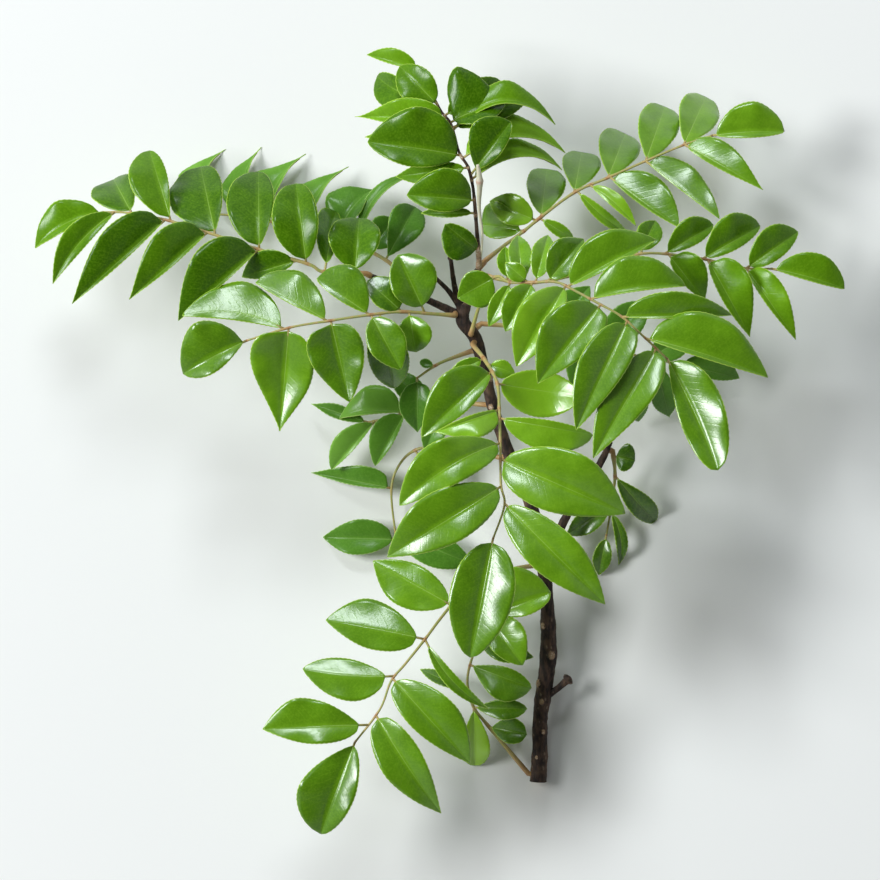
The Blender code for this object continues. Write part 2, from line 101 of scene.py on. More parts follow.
# What else grows from the stem as wood: a name, then points and radii as above.
TWIGS = {
    "leader": ((9.6, 51.0, 45.5, 2.2), (12.6, 62.0, 48.5, 1.5), (15.4, 69.0, 50.5, 1.3)),
    "upright_twig": ((8.4, 52.0, 46.0, 1.7), (5.8, 62.0, 49.5, 1.1), (4.2, 73.2, 55.0, 0.8)),
    "short_twig": ((9.0, 52.0, 46.0, 1.5), (3.4, 60.0, 48.5, 1.0), (-3.6, 66.8, 51.0, 0.8)),
    "left_twig": (
        (9.0, 50.0, 45.0, 1.8), (-7.6, 57.6, 46.5, 1.3), (-18.0, 62.0, 46.0, 1.0), (-27.6, 66.0, 45.0, 1.1),
    ),
    "side_branch": (
        (42.0, -50.0, 17.0, 2.2), (50.8, -30.4, 17.5, 1.7), (64.0, -9.6, 20.0, 1.5), (68.4, 0.0, 22.0, 1.1),
    ),
    "pruned_stub": ((42.6, -103.0, 8.8, 1.6), (47.6, -99.4, 10.4, 1.3), (51.6, -95.8, 11.4, 1.7)),
}

# The twigs that end in a bud, and the bud: how far past the end in millimetres, its radius as a share of the
# end's, and how pale it is.
BUDDED = ("upright_twig", "short_twig", "pruned_stub")
BUD = ((-1.4, 0.7, 0.0), (-0.7, 1.35, 0.0), (0.0, 1.5, 0.1), (0.8, 1.0, 0.2), (1.3, 0.3, 0.2))

# Each compound leaf. "rachis" is its centreline, foot first. Each leaflet is: foot x, y (moved to the nearest
# point of the rachis), tip x, y, z, width, and, where they aren't the usual ones, the arch as a share of the
# length and the x and y of the way its face leans.
FRONDS = {
    "frond_left_upper": {
        "rachis": (
            (-29.6, 67.0, 46.0), (-46.4, 67.6, 49.0), (-52.8, 70.8, 50.0), (-73.2, 76.8, 52.0),
            (-91.2, 82.8, 52.0), (-108.0, 88.0, 50.0), (-124.0, 91.2, 47.0), (-134.8, 91.6, 44.0),
        ),
        "leaflets": (
            (-134.8, 91.6, -162.0, 77.2, 42.0, 17.0, 0.2, -0.2, 0.9),
            (-130.0, 91.0, -154.8, 62.8, 49.0, 15.0),
            (-110.0, 88.0, -146.8, 54.8, 58.0, 21.0, 0.12, -0.3, 0.3),
            (-93.2, 82.6, -124.0, 56.4, 60.0, 20.0, 0.12, -0.3, 0.3),
            (-72.8, 75.6, -104.4, 48.0, 57.0, 23.0, 0.14, -0.4, 0.4),
            (-56.8, 72.8, -79.2, 65.6, 44.0, 14.0),
            (-123.2, 91.6, -131.0, 105.0, 20.0, 18.0, 0.3),
            (-107.6, 88.0, -116.4, 116.4, 32.0, 17.0, 0.2),
            (-89.6, 83.0, -96.0, 110.0, 26.0, 21.0, 0.25),
            (-72.0, 77.6, -72.8, 108.0, 28.0, 20.0, 0.25),
            (-53.2, 72.0, -57.6, 103.0, 30.0, 19.0, 0.25),
            (-34.0, 67.6, -32.4, 89.2, 26.0, 19.0, 0.25),
            (-46.0, 69.0, -42.0, 92.0, 27.0, 11.0),
        ),
    },
    "frond_left_rear": {
        "rachis": (
            (-8.0, 60.0, 40.0), (-24.0, 74.0, 28.0), (-50.0, 84.0, 17.0),
            (-78.0, 90.0, 9.0), (-98.0, 92.0, 5.0),
        ),
        "leaflets": (
            (-97.0, 92.0, -86.4, 117.6, -1.0, 13.0, 0.22, -0.9, 0.4),
            (-80.0, 90.0, -72.0, 118.4, 0.0, 14.0, 0.16, -0.9, 0.4),
            (-70.0, 88.6, -54.0, 115.6, 2.0, 15.0, 0.16, -0.9, 0.4),
            (-54.0, 85.0, -36.8, 110.4, 6.0, 13.0, 0.16, -0.9, 0.4),
            (-42.0, 80.0, -27.0, 101.0, 12.0, 15.0, 0.14, -0.6, 0.3),
            (-29.0, 76.0, -18.0, 89.0, 20.0, 11.0),
            (-33.0, 77.6, -4.8, 108.4, 13.0, 11.0, 0.14, -0.5, 0.8),
            (-22.0, 72.4, -10.0, 94.0, 20.0, 13.0),
        ),
    },
    "frond_left_lower": {
        "rachis": (
            (6.0, 50.2, 49.4), (-2.8, 50.8, 54.0), (-15.2, 51.6, 59.0), (-27.6, 50.4, 63.0),
            (-43.6, 48.0, 66.0), (-60.0, 45.2, 67.0), (-77.2, 40.0, 65.0),
        ),
        "leaflets": (
            (-62.0, 44.8, -102.8, 50.0, 66.0, 21.0, 0.16, 0.0, 0.8),
            (-44.8, 48.0, -73.6, 63.2, 72.0, 17.0, 0.12, 0.0, 0.4),
            (-28.0, 50.4, -48.0, 64.0, 66.0, 16.0),
            (-15.2, 51.6, -29.0, 64.0, 63.0, 15.0),
            (-6.0, 51.0, -19.0, 73.0, 60.0, 16.0),
            (-77.2, 40.0, -102.4, 26.8, 64.0, 22.0, 0.14, -0.4, 0.2),
            (-60.4, 45.2, -64.0, 4.0, 60.0, 25.0),
            (-43.6, 48.0, -36.0, 15.6, 62.0, 22.0),
            (-27.6, 50.4, -15.6, 28.4, 63.0, 17.0),
            (-24.0, 50.0, -18.4, 21.2, 46.0, 13.0),
            (-12.4, 51.4, -9.6, 35.6, 56.0, 14.0),
        ),
    },
    "frond_top": {
        "rachis": (
            (15.6, 71.8, 52.4), (14.4, 88.0, 58.0), (13.2, 100.8, 62.0), (11.2, 109.2, 64.0),
            (7.6, 115.2, 65.0), (4.4, 126.4, 64.0), (0.0, 132.4, 62.0), (-8.0, 148.4, 55.0),
        ),
        "leaflets": (
            (-8.0, 148.4, -29.2, 154.4, 48.0, 11.0),
            (-1.0, 134.0, -16.0, 149.6, 57.0, 17.0),
            (-2.0, 135.6, -25.0, 146.0, 46.0, 12.0),
            (3.0, 129.0, -34.0, 129.6, 52.0, 11.0),
            (6.0, 120.0, -30.0, 121.6, 45.0, 9.0),
            (6.8, 113.0, -28.8, 119.2, 68.0, 21.0, 0.16, 0.0, 0.5),
            (11.0, 109.0, -17.6, 105.6, 56.0, 10.0),
            (13.4, 96.0, -13.2, 98.0, 66.0, 20.0, 0.14, 0.0, 0.4),
            (14.2, 91.0, -7.6, 91.0, 53.0, 8.0),
            (4.4, 127.2, 26.0, 134.0, 60.0, 16.0, 0.14, 0.0, 0.5),
            (2.0, 130.0, 24.0, 144.0, 52.0, 10.0),
            (5.0, 124.0, 46.0, 126.4, 55.0, 15.0, 0.24, 0.0, 0.9),
            (4.8, 125.0, 36.0, 137.6, 48.0, 10.0),
            (12.0, 106.0, 26.0, 128.8, 68.0, 16.0),
            (9.0, 112.8, 50.0, 115.2, 50.0, 14.0, 0.16, 0.0, 0.8),
            (12.6, 104.4, 48.8, 108.4, 45.0, 13.0, 0.2, 0.0, 0.8),
            (15.2, 76.0, 2.0, 86.5, 62.0, 14.0),
        ),
    },
    "frond_right_upper": {
        "rachis": (
            (18.2, 72.2, 47.0), (26.0, 78.4, 46.0), (33.6, 84.0, 45.0),
            (40.4, 89.6, 44.0), (54.0, 99.6, 43.0),
            (66.8, 105.2, 42.0), (81.2, 111.6, 41.0), (97.2, 118.4, 40.0), (109.2, 122.4, 39.0),
        ),
        "leaflets": (
            (109.2, 122.4, 138.0, 124.0, 36.0, 15.0, 0.18, 0.0, 0.9),
            (98.0, 118.4, 129.2, 100.4, 44.0, 14.0, 0.14, 0.4, 0.5),
            (82.4, 112.0, 111.6, 88.8, 46.0, 14.0, 0.14, 0.4, 0.5),
            (68.0, 105.6, 95.2, 85.6, 47.0, 15.0),
            (60.0, 102.4, 78.4, 86.0, 46.0, 8.0),
            (55.0, 99.8, 76.0, 82.8, 34.0, 7.0),
            (97.6, 118.4, 103.4, 137.2, 16.0, 16.0, 0.25),
            (82.4, 112.0, 87.0, 134.0, 16.0, 16.0, 0.25),
            (67.2, 105.4, 72.0, 123.2, 16.0, 17.0, 0.25),
            (53.6, 99.4, 57.0, 116.0, 18.0, 15.0, 0.25),
            (40.4, 89.6, 43.0, 109.2, 20.0, 15.0, 0.2),
            (40.0, 89.0, 54.0, 80.4, 39.0, 6.0),
            (38.8, 88.0, 20.0, 96.0, 40.0, 14.0),
            (33.6, 84.0, 19.6, 86.4, 34.0, 14.0),
        ),
    },
    "frond_right_middle": {
        "rachis": (
            (17.6, 66.4, 50.6), (27.0, 64.0, 54.0), (38.0, 63.2, 57.0),
            (54.0, 66.4, 59.0), (71.2, 72.4, 60.0),
            (84.0, 75.0, 60.0), (104.4, 72.8, 58.0), (120.8, 69.2, 56.0), (132.8, 68.8, 54.0),
        ),
        "leaflets": (
            (132.8, 68.8, 161.6, 60.8, 50.0, 15.0, 0.16, 0.2, 0.8),
            (122.4, 69.4, 143.2, 83.6, 46.0, 14.0),
            (104.8, 72.8, 128.0, 86.0, 46.0, 15.0),
            (89.6, 74.8, 109.2, 86.4, 50.0, 13.0),
            (80.0, 74.4, 86.0, 88.0, 52.0, 11.0),
            (122.4, 69.0, 142.0, 40.4, 58.0, 13.0),
            (106.8, 72.4, 123.6, 41.6, 58.0, 17.0, 0.12, 0.5, 0.2),
            (91.2, 74.4, 105.6, 56.0, 55.0, 15.0),
            (27.0, 64.0, 26.0, 77.6, 50.0, 8.0),
        ),
    },
    "frond_right_front": {
        "rachis": (
            (12.4, 42.6, 48.4), (14.4, 50.0, 51.4), (17.0, 58.0, 57.0),
            (19.6, 63.6, 63.0), (23.4, 65.6, 69.0),
            (28.0, 63.2, 73.6), (38.0, 63.2, 78.0), (46.4, 63.2, 80.0),
            (54.0, 59.6, 82.0), (62.8, 54.8, 84.0),
            (72.0, 49.6, 85.0), (80.0, 42.4, 85.0), (90.4, 32.6, 82.0),
        ),
        "leaflets": (
            (42.8, 63.2, 57.2, 80.4, 72.0, 16.0),
            (50.8, 61.6, 86.0, 80.0, 74.0, 19.0, 0.14, -0.4, 0.5),
            (60.0, 56.8, 97.6, 61.6, 79.0, 19.0, 0.1, 0.0, 0.4),
            (72.4, 49.4, 116.0, 50.0, 78.0, 16.0),
            (82.0, 41.0, 130.4, 25.2, 78.0, 22.0, 0.16, 0.2, 0.7),
            (90.4, 32.6, 110.4, -11.6, 84.0, 23.0, 0.14, 0.7, 0.2),
            (33.0, 63.0, 31.0, 82.0, 64.0, 10.0),
            (38.0, 63.2, 43.0, 82.0, 66.0, 10.0),
            (35.0, 63.0, 26.0, 71.0, 77.0, 8.0),
            (22.0, 66.0, 7.0, 57.0, 64.0, 15.0),
            (28.0, 62.8, 19.4, 45.6, 74.0, 9.0),
            (37.0, 63.2, 26.0, 43.6, 80.0, 13.0),
            (50.0, 61.8, 30.4, 29.6, 88.0, 16.0),
            (64.0, 54.4, 38.8, 22.8, 93.0, 21.0),
            (74.4, 47.6, 54.0, 4.4, 96.0, 18.0),
            (86.0, 36.8, 60.8, -6.8, 93.0, 17.0),
        ),
    },
    "frond_centre_front": {
        "rachis": (
            (13.0, 38.6, 48.0), (18.4, 31.6, 61.0), (22.8, 22.8, 74.0), (23.6, 10.8, 82.0),
            (24.0, -2.4, 86.0), (24.2, -17.2, 88.0), (25.6, -25.6, 88.0), (21.0, -39.0, 88.0),
        ),
        "leaflets": (
            (20.4, 27.6, -7.2, 1.6, 74.0, 18.0),
            (23.6, 12.4, -2.0, 3.6, 88.0, 11.0, 0.12),
            (24.0, -0.8, -16.0, -25.6, 88.0, 18.0),
            (24.2, -18.0, -20.8, -46.0, 84.0, 19.0),
            (21.0, -39.0, 12.0, -86.0, 86.0, 27.0, 0.1, -0.2, 0.0),
            (22.8, 22.8, 56.0, 17.6, 68.0, 18.0),
            (23.6, 9.0, 60.8, 2.4, 75.0, 15.0),
            (24.1, -7.2, 73.6, -28.8, 84.0, 22.0),
            (25.4, -24.8, 65.6, -64.8, 86.0, 20.0),
            (18.8, 30.8, 30.0, 26.8, 62.0, 8.0),
            (17.6, 33.0, 3.0, 26.0, 60.0, 7.0),
        ),
    },
    "frond_lower_left": {
        "rachis": (
            (38.6, -50.0, 21.0), (26.0, -52.0, 33.0), (12.0, -57.6, 44.0),
            (1.6, -69.2, 52.0), (-6.0, -79.2, 55.0),
            (-14.0, -89.2, 56.0), (-19.6, -96.0, 56.0), (-24.0, -107.2, 55.0), (-34.0, -120.4, 52.0),
        ),
        "leaflets": (
            (4.4, -65.6, -26.8, -48.0, 56.0, 19.0, 0.12, 0.2, 0.4),
            (-6.0, -79.2, -45.6, -71.6, 60.0, 21.0, 0.12, 0.0, 0.3),
            (-18.0, -94.0, -54.8, -91.0, 60.0, 19.0, 0.1, 0.0, -0.2),
            (-29.0, -113.0, -70.8, -115.2, 56.0, 20.0, 0.12, 0.0, 0.5),
            (-34.0, -120.4, -47.6, -157.2, 46.0, 23.0, 0.16, -0.7, 0.3),
            (-25.6, -109.6, 0.4, -148.8, 48.0, 20.0, 0.12, 0.0, -0.2),
            (-18.4, -95.2, 12.0, -128.8, 52.0, 20.0),
            (-6.0, -79.2, 19.6, -107.2, 52.0, 16.0),
        ),
    },
    "frond_base_rear": {
        "rachis": (
            (35.6, -134.0, 4.0), (19.2, -114.4, 11.0), (13.2, -106.4, 14.0), (11.0, -96.0, 16.0),
            (14.0, -84.0, 18.0), (20.0, -70.0, 20.0),
        ),
        "leaflets": (
            (20.0, -115.0, 35.0, -118.0, 17.0, 11.0),
            (14.0, -107.0, 35.0, -107.6, 18.0, 10.0),
            (12.0, -90.0, 36.8, -99.2, 20.0, 17.0),
            (15.6, -80.0, 37.6, -86.8, 22.0, 10.0),
            (19.0, -71.0, 33.2, -90.0, 26.0, 15.0),
            (20.0, -70.0, 46.0, -67.6, 26.0, 16.0),
            (13.6, -107.0, 14.0, -130.8, 0.0, 9.0),
            (11.6, -100.0, -8.0, -92.0, 4.0, 13.0),
        ),
    },
    "frond_left_back": {
        "rachis": (
            (18.4, 14.6, 31.4), (4.0, 15.0, 25.0), (-10.0, 12.5, 20.0),
            (-20.0, 9.5, 16.0), (-29.0, 7.5, 12.0),
        ),
        "leaflets": (
            (-14.0, 11.6, -40.4, 9.0, 13.0, 14.0, 0.14, 0.0, 0.5),
            (-29.0, 7.5, -52.0, 15.0, 6.0, 7.0),
            (-26.0, 8.0, -43.6, -11.6, 9.0, 14.0),
            (-14.0, 11.6, -26.0, -10.0, 17.0, 13.0),
            (2.0, 14.6, -6.0, -4.0, 23.0, 11.0),
            (-4.0, 13.8, -20.0, 28.0, 20.0, 11.0),
        ),
    },
    "frond_left_low": {
        "rachis": (
            (23.6, -6.6, 26.4), (8.0, -2.0, 20.0), (-8.0, -3.0, 15.0),
            (-16.0, -9.0, 10.0), (-19.6, -20.0, 8.0),
            (-17.6, -39.6, 4.0),
        ),
        "leaflets": (
            (-19.6, -19.0, -52.0, -12.8, -1.0, 11.0, 0.05),
            (-17.6, -39.6, -47.2, -38.8, -1.0, 16.0),
            (-17.8, -37.0, 14.0, -50.0, 3.0, 14.0),
            (-10.0, -4.0, 4.0, -20.0, 8.0, 13.0),
        ),
    },
    "frond_right_rear": {
        "rachis": (
            (69.4, -4.0, 18.4), (70.4, -14.0, 13.0), (69.0, -26.0, 9.0), (67.0, -38.0, 6.0),
        ),
        "leaflets": (
            (69.8, -6.0, 76.0, 6.0, 18.0, 11.0),
            (70.4, -14.0, 86.4, -32.8, -1.0, 14.0),
            (68.6, -28.0, 72.0, -50.0, 0.0, 10.0),
            (67.0, -38.0, 64.0, -54.0, 1.0, 9.0),
            (69.0, -26.0, 51.0, -38.0, 4.0, 10.0),
        ),
    },
    "frond_right_pale": {
        "rachis": (
            (16.6, 47.0, 42.0), (36.0, 45.0, 41.0), (58.0, 40.0, 36.0),
            (80.0, 34.0, 28.0), (96.0, 31.0, 21.0),
        ),
        "leaflets": (
            (84.0, 33.2, 102.0, 44.0, 26.0, 13.0),
            (96.0, 31.0, 120.4, 25.2, 12.0, 13.0),
            (86.0, 33.0, 92.4, 9.6, 0.0, 14.0),
            (72.0, 36.6, 80.0, 8.0, 4.0, 14.0),
            (64.0, 38.6, 84.0, 56.0, 30.0, 15.0),
            (52.0, 41.4, 62.0, 16.0, 20.0, 14.0),
            (44.0, 43.4, 60.0, 62.0, 38.0, 15.0),
        ),
    },
    "frond_young_left": {
        "rachis": ((12.6, 36.0, 41.6), (0.0, 31.2, 42.0), (-9.2, 25.2, 40.0)),
        "leaflets": (
            (-9.2, 25.2, -9.0, 3.6, 36.0, 13.0),
            (-2.0, 30.2, -13.0, 33.0, 40.0, 7.0),
        ),
    },
}

# The pale young shoot: points and radii as for the stem.
YOUNG_SHOOT = ((15.6, 93.0, 62.4, 0.8), (15.8, 103.6, 70.0, 1.3), (15.0, 110.0, 73.0, 0.7))

# The fronds that grow at the back and are younger and paler.
PALE_FRONDS = ("frond_left_rear", "frond_right_pale", "frond_left_back", "frond_left_low", "frond_young_left")

# The fronds whose leaflets have lost most of their wax.
DULL_FRONDS = ("frond_top", "frond_left_upper", "frond_right_middle")

# The fronds whose stalk has already turned to wood.
WOODY_FRONDS = ("frond_top",)

# How much lighter some fronds are than the rest, added to the tone of each of their leaflets.
LIGHTER = {
    "frond_centre_front": 0.2,
    "frond_right_front": 0.15,
    "frond_lower_left": 0.15,
    "frond_base_rear": 0.3,
    "frond_left_upper": -0.05,
}

# How a leaflet's form differs from the usual one. left and right are the share of the half-width on each side
# of the midrib, seen from its foot, and left_peak and right_peak are where each is widest. tip is how fast it
# narrows to its end, bend is how far the midrib bows to the left as a share of its length, tone is how light
# its green is, roll is in degrees about the midrib, left half up, fold and arch are shares of the usual ones,
# stalk is in millimetres, turn swings the leaflet clockwise by so many degrees, reach and lean are shares of
# its own, and rise lifts its tip by so many millimetres.
Form = namedtuple(
    "Form",
    "left right left_peak right_peak tip bend tone roll fold stalk arch turn reach lean rise",
    defaults=(1.0, 1.0, 0.47, 0.47, 0.85, 0.0, 0.5, 0.0, 1.0, PETIOLULE, 1.0, 0.0, 1.0, 1.0, 0.0),
)
FORMS = {
    "frond_left_upper": {
        0: Form(0.45, 1.1, bend=-0.04, tone=0.55, lean=0.5, arch=0.7),
        1: Form(0.4, 1.05, bend=-0.07, tone=0.3),
        2: Form(0.14, 1.3, 0.5, 0.38, tip=0.95, tone=-0.1, lean=0.0),
        3: Form(0.14, 1.35, 0.5, 0.38, tip=0.95, tone=0.15, lean=0.0),
        4: Form(0.1, 1.45, 0.5, 0.4, tip=0.85, tone=-0.4, lean=0.0),
        5: Form(0.5, 1.2, tone=-0.5),
        6: Form(1.3, 0.8, tone=0.2, arch=0.3),
        7: Form(1.5, 0.5, 0.47, 0.6, tip=0.55, tone=0.45, fold=0.5, roll=14, arch=0.6),
        8: Form(1.5, 0.7, 0.45, 0.58, tip=0.45, tone=0.0, fold=0.3, arch=0.4),
        9: Form(1.35, 0.65, 0.45, 0.55, tip=0.45, tone=0.15, fold=0.4, arch=0.45),
        10: Form(1.25, 0.8, 0.45, 0.5, tip=0.45, tone=0.15, fold=0.9, arch=0.6, rise=11),
        11: Form(1.3, 1.0, 0.45, 0.5, tip=0.5, tone=0.2, fold=0.9, arch=0.6, rise=9),
        12: Form(1.5, 0.6, 0.5, 0.45, tip=0.5, tone=-0.4, stalk=4.0, roll=12, rise=-8),
    },
    "frond_left_rear": {
        0: Form(1.5, 0.4, 0.33, 0.35, tip=2.0, tone=0.7),
        1: Form(1.2, 0.6, 0.33, 0.35, tip=2.1, tone=0.7),
        2: Form(1.7, 0.4, 0.3, 0.35, tip=2.2, tone=0.7),
        3: Form(1.6, 0.4, 0.3, 0.35, tip=2.2, tone=0.7),
        4: Form(1.5, 0.8, 0.5, 0.4, tip=1.0, tone=0.2),
        5: Form(1.3, 1.3, 0.55, 0.5, tone=-0.4),
        6: Form(0.6, 0.5, bend=0.14, tip=1.2),
        7: Form(1.2, 1.2, 0.66, 0.62, tip=0.5, tone=-0.1),
    },
    "frond_left_lower": {
        0: Form(0.35, 1.35, 0.5, 0.42, tip=0.75, bend=-0.1, tone=0.5, roll=-17, fold=-0.05, arch=0.2),
        1: Form(0.2, 1.6, 0.5, 0.55, tip=0.5, tone=0.5, fold=-0.05, arch=0.3, lean=1.3, rise=-11),
        2: Form(0.3, 1.65, 0.5, 0.55, tone=0.35, tip=0.5, roll=12, fold=0.2, arch=0.7, rise=-7, reach=1.06),
        3: Form(0.75, 1.15, tone=0.1, tip=0.55, roll=16, fold=0.2, rise=-5),
        4: Form(1.1, 1.45, 0.5, 0.55, tone=0.3, tip=0.5, stalk=3.4, turn=6),
        5: Form(0.6, 1.4, 0.6, 0.48, tip=0.6, tone=0.3, lean=0.3),
        6: Form(0.95, 1.2, 0.38, 0.26, tip=1.05, tone=0.55, arch=-1.2),
        7: Form(1.0, 1.15, 0.34, 0.28, tip=0.75, tone=0.3, arch=-0.6),
        8: Form(1.0, 0.9, tone=0.4, arch=0.4),
        9: Form(1.35, 1.3, 0.5, 0.45, tip=0.7, tone=0.3),
        10: Form(1.15, 1.0, 0.5, 0.5, tip=0.6, tone=0.5),
    },
    "frond_top": {
        0: Form(0.22, 1.05, 0.45, 0.42, tone=0.6),
        1: Form(1.0, 0.85, tone=0.2, tip=0.6),
        2: Form(1.4, 0.9, 0.6, 0.6, bend=0.08, tone=0.1, tip=0.5),
        3: Form(0.6, 1.5, 0.4, 0.35, tip=1.5, tone=0.7),
        4: Form(0.5, 0.9, tone=0.7),
        5: Form(0.8, 1.6, 0.5, 0.46, tip=0.6, tone=0.15, lean=0.2, arch=0.5),
        6: Form(1.0, 0.9, tone=0.4),
        7: Form(0.6, 1.25, 0.5, 0.46, tip=0.7, tone=0.15, lean=0.0),
        8: Form(0.5, 0.8, tone=-0.2),
        9: Form(2.3, 1.0, 0.36, 0.5, tone=-0.1),
        10: Form(1.3, 1.1, tip=0.6, tone=0.1),
        11: Form(1.1, 0.35, 0.5, 0.45, bend=0.12, tone=0.5),
        12: Form(tone=0.3),
        13: Form(1.5, 0.6, 0.6, 0.5, tip=0.5, tone=-0.4, turn=6, stalk=4.0),
        14: Form(1.3, 0.2, 0.38, 0.45, bend=0.1, tone=0.85),
        15: Form(1.1, 0.2, 0.42, 0.45, bend=0.07, tone=0.85),
        16: Form(1.4, 0.6, 0.52, 0.5, tip=0.5, tone=-0.1),
    },
    "frond_right_upper": {
        0: Form(1.6, 0.4, 0.5, 0.5, tip=0.5, tone=0.7, lean=0.3, arch=0.4),
        1: Form(1.35, 0.3, 0.36, 0.4, tip=1.0, tone=0.5, arch=0.4, lean=0.3, fold=-0.2, rise=2),
        2: Form(1.5, 0.14, 0.38, 0.4, tip=0.8, tone=0.4, arch=0.2, lean=0.45, fold=-0.2, rise=5),
        3: Form(1.6, 0.25, 0.45, 0.45, tip=0.7, tone=0.3, arch=0.2, fold=-0.2, rise=3, roll=-8),
        4: Form(1.0, 0.5, bend=0.05, tone=0.8),
        5: Form(0.8, 0.8, bend=-0.04, tone=0.8),
        6: Form(1.1, 1.1, 0.58, 0.54, tip=0.38, tone=0.75, turn=8, reach=1.12, fold=0.25, arch=0.3),
        7: Form(1.12, 1.1, 0.58, 0.54, tip=0.38, tone=0.65, turn=8, reach=1.06, fold=0.25, arch=0.3),
        8: Form(1.15, 1.0, 0.58, 0.56, tip=0.38, tone=0.55, turn=7, reach=1.06, fold=0.25, arch=0.3),
        9: Form(1.0, 1.2, 0.58, 0.58, tip=0.38, tone=0.45, fold=0.25, arch=0.3),
        10: Form(1.05, 1.15, 0.55, 0.58, tip=0.36, tone=0.45, fold=0.3, arch=0.3),
        11: Form(1.0, 0.9, tone=0.6),
        # Leaflets 12 and 13 lie in the shadow of the leaflets above them, and their higher tone is painted
        # light that lifts that shadow.
        12: Form(0.9, 1.0, tone=0.9),
        13: Form(0.75, 1.5, 0.5, 0.5, tip=0.5, tone=0.7, reach=1.2),
    },
    "frond_right_middle": {
        0: Form(1.35, 0.25, 0.5, 0.5, tip=0.6, tone=0.45, lean=0.3, arch=0.6),
        1: Form(1.3, 0.68, 0.5, 0.42, tip=0.65, tone=0.3),
        2: Form(1.45, 0.5, 0.5, 0.45, tip=0.6, tone=0.3),
        3: Form(1.25, 0.55, 0.5, 0.5, tip=0.6, tone=0.3),
        4: Form(tone=0.2),
        5: Form(1.3, 0.3, 0.36, 0.4, tip=0.9, tone=0.7),
        6: Form(1.35, 0.38, 0.34, 0.45, tip=0.9, tone=0.6, lean=0.2, arch=0.6),
        7: Form(1.3, 0.4, 0.36, 0.4, tip=0.85, tone=0.5),
    },
    "frond_right_front": {
        0: Form(1.1, 0.8, tone=0.2),
        1: Form(1.3, 0.25, 0.46, 0.45, tip=0.8, tone=0.45, lean=0.3, arch=0.6),
        2: Form(1.4, 0.14, 0.45, 0.45, tip=0.7, tone=0.45),
        3: Form(1.3, 0.14, 0.42, 0.45, tip=0.8, tone=0.2),
        4: Form(1.45, 0.2, 0.42, 0.45, tip=0.8, tone=0.4, lean=0.4, arch=0.5),
        5: Form(1.12, 0.64, 0.42, 0.6, tip=0.45, tone=0.2, lean=0.0, arch=-0.2, bend=0.02, rise=6),
        9: Form(1.2, 1.0, tone=0.35, roll=-8, fold=0.5, arch=0.4, rise=4),
        10: Form(0.95, 0.95, tone=0.5),
        11: Form(0.9, 1.15, tone=0.5),
        12: Form(0.85, 1.5, 0.5, 0.5, tone=0.6),
        13: Form(0.85, 1.4, 0.32, 0.46, tone=0.3, arch=0.4),
        14: Form(0.95, 1.28, 0.28, 0.45, tone=0.3, arch=0.4),
        15: Form(1.1, 1.2, 0.3, 0.48, tone=0.35, arch=0.4),
    },
    "frond_centre_front": {
        0: Form(0.55, 1.45, 0.47, 0.45, tone=0.35),
        1: Form(1.5, 0.35, 0.38, 0.45, tone=0.6),
        2: Form(0.9, 1.35, 0.4, 0.56, tip=0.7, bend=-0.06, tone=0.45, fold=0.7, arch=1.5, rise=5),
        3: Form(1.08, 1.4, 0.42, 0.52, tone=0.3, fold=0.7, arch=1.5, rise=5),
        4: Form(0.98, 1.0, 0.42, 0.44, tip=0.62, tone=0.2, lean=0.0, arch=0.5),
        5: Form(0.95, 1.25, 0.5, 0.5, tip=0.55, tone=0.75, fold=0.3, arch=-1.8, rise=5),
        6: Form(0.4, 1.35, 0.5, 0.5, tip=0.55, tone=0.65, fold=0.4),
        7: Form(1.4, 1.12, 0.5, 0.36, tone=0.5),
        8: Form(1.02, 1.05, 0.5, 0.42, tone=0.4),
        9: Form(tone=0.6),
        10: Form(tone=0.3),
    },
    "frond_lower_left": {
        0: Form(1.15, 0.88, 0.52, 0.47, tone=0.4, arch=0.2, rise=-11, lean=0.0, roll=8, fold=-0.5),
        1: Form(0.85, 1.2, 0.42, 0.56, tone=0.35, stalk=3.4, fold=-0.3, arch=0.3, roll=-2, rise=-8),
        2: Form(
            1.15, 0.8, 0.42, 0.55, tip=0.75, bend=0.04, tone=0.4,
            fold=-0.3, stalk=3.6, arch=0.3, lean=-1.55, rise=-5,
        ),
        3: Form(0.78, 1.2, 0.42, 0.6, tone=0.4, stalk=4.0, fold=0.6, lean=0.3, arch=0.5),
        4: Form(0.75, 1.3, 0.5, 0.6, tip=0.6, tone=0.2, lean=0.15, arch=0.4),
        5: Form(0.85, 0.98, 0.38, 0.4, tip=0.95, tone=0.3),
        6: Form(1.2, 0.78, 0.5, 0.36, tone=0.45),
        7: Form(0.35, 0.4, 0.5, 0.45, bend=-0.08, tone=0.2, stalk=3.0),
    },
    "frond_base_rear": {
        0: Form(1.1, 0.95, 0.62, 0.62, tip=0.45, tone=-0.1),
        1: Form(0.8, 1.0, 0.6, 0.6, tip=0.6, tone=0.0),
        2: Form(0.55, 1.15, 0.6, 0.62, tip=0.6, tone=0.2),
        3: Form(0.8, 1.2, tone=-0.1),
        4: Form(1.3, 0.9, tip=0.65, tone=0.4),
        5: Form(2.1, 0.7, 0.5, 0.6, tip=0.5, tone=0.4, turn=-15),
        6: Form(1.5, 1.2, 0.58, 0.58, tip=0.5, tone=1.3),
        7: Form(0.45, 0.45, tone=-0.2),
    },
    "frond_left_back": {
        0: Form(0.25, 1.5, 0.5, 0.38, tip=0.85, tone=0.9),
        1: Form(0.8, 1.0, tone=0.0, tip=1.2),
        2: Form(0.2, 1.15, 0.5, 0.5, tip=0.7, tone=0.9),
        3: Form(0.3, 1.4, 0.5, 0.42, tip=0.7, tone=0.5),
        5: Form(tone=-0.2),
    },
    "frond_left_low": {
        0: Form(0.35, 1.3, 0.45, 0.28, tip=1.0, tone=0.1),
        1: Form(0.88, 1.03, 0.5, 0.4, tone=0.1),
        2: Form(1.0, 1.1, tone=0.0),
    },
    "frond_right_rear": {
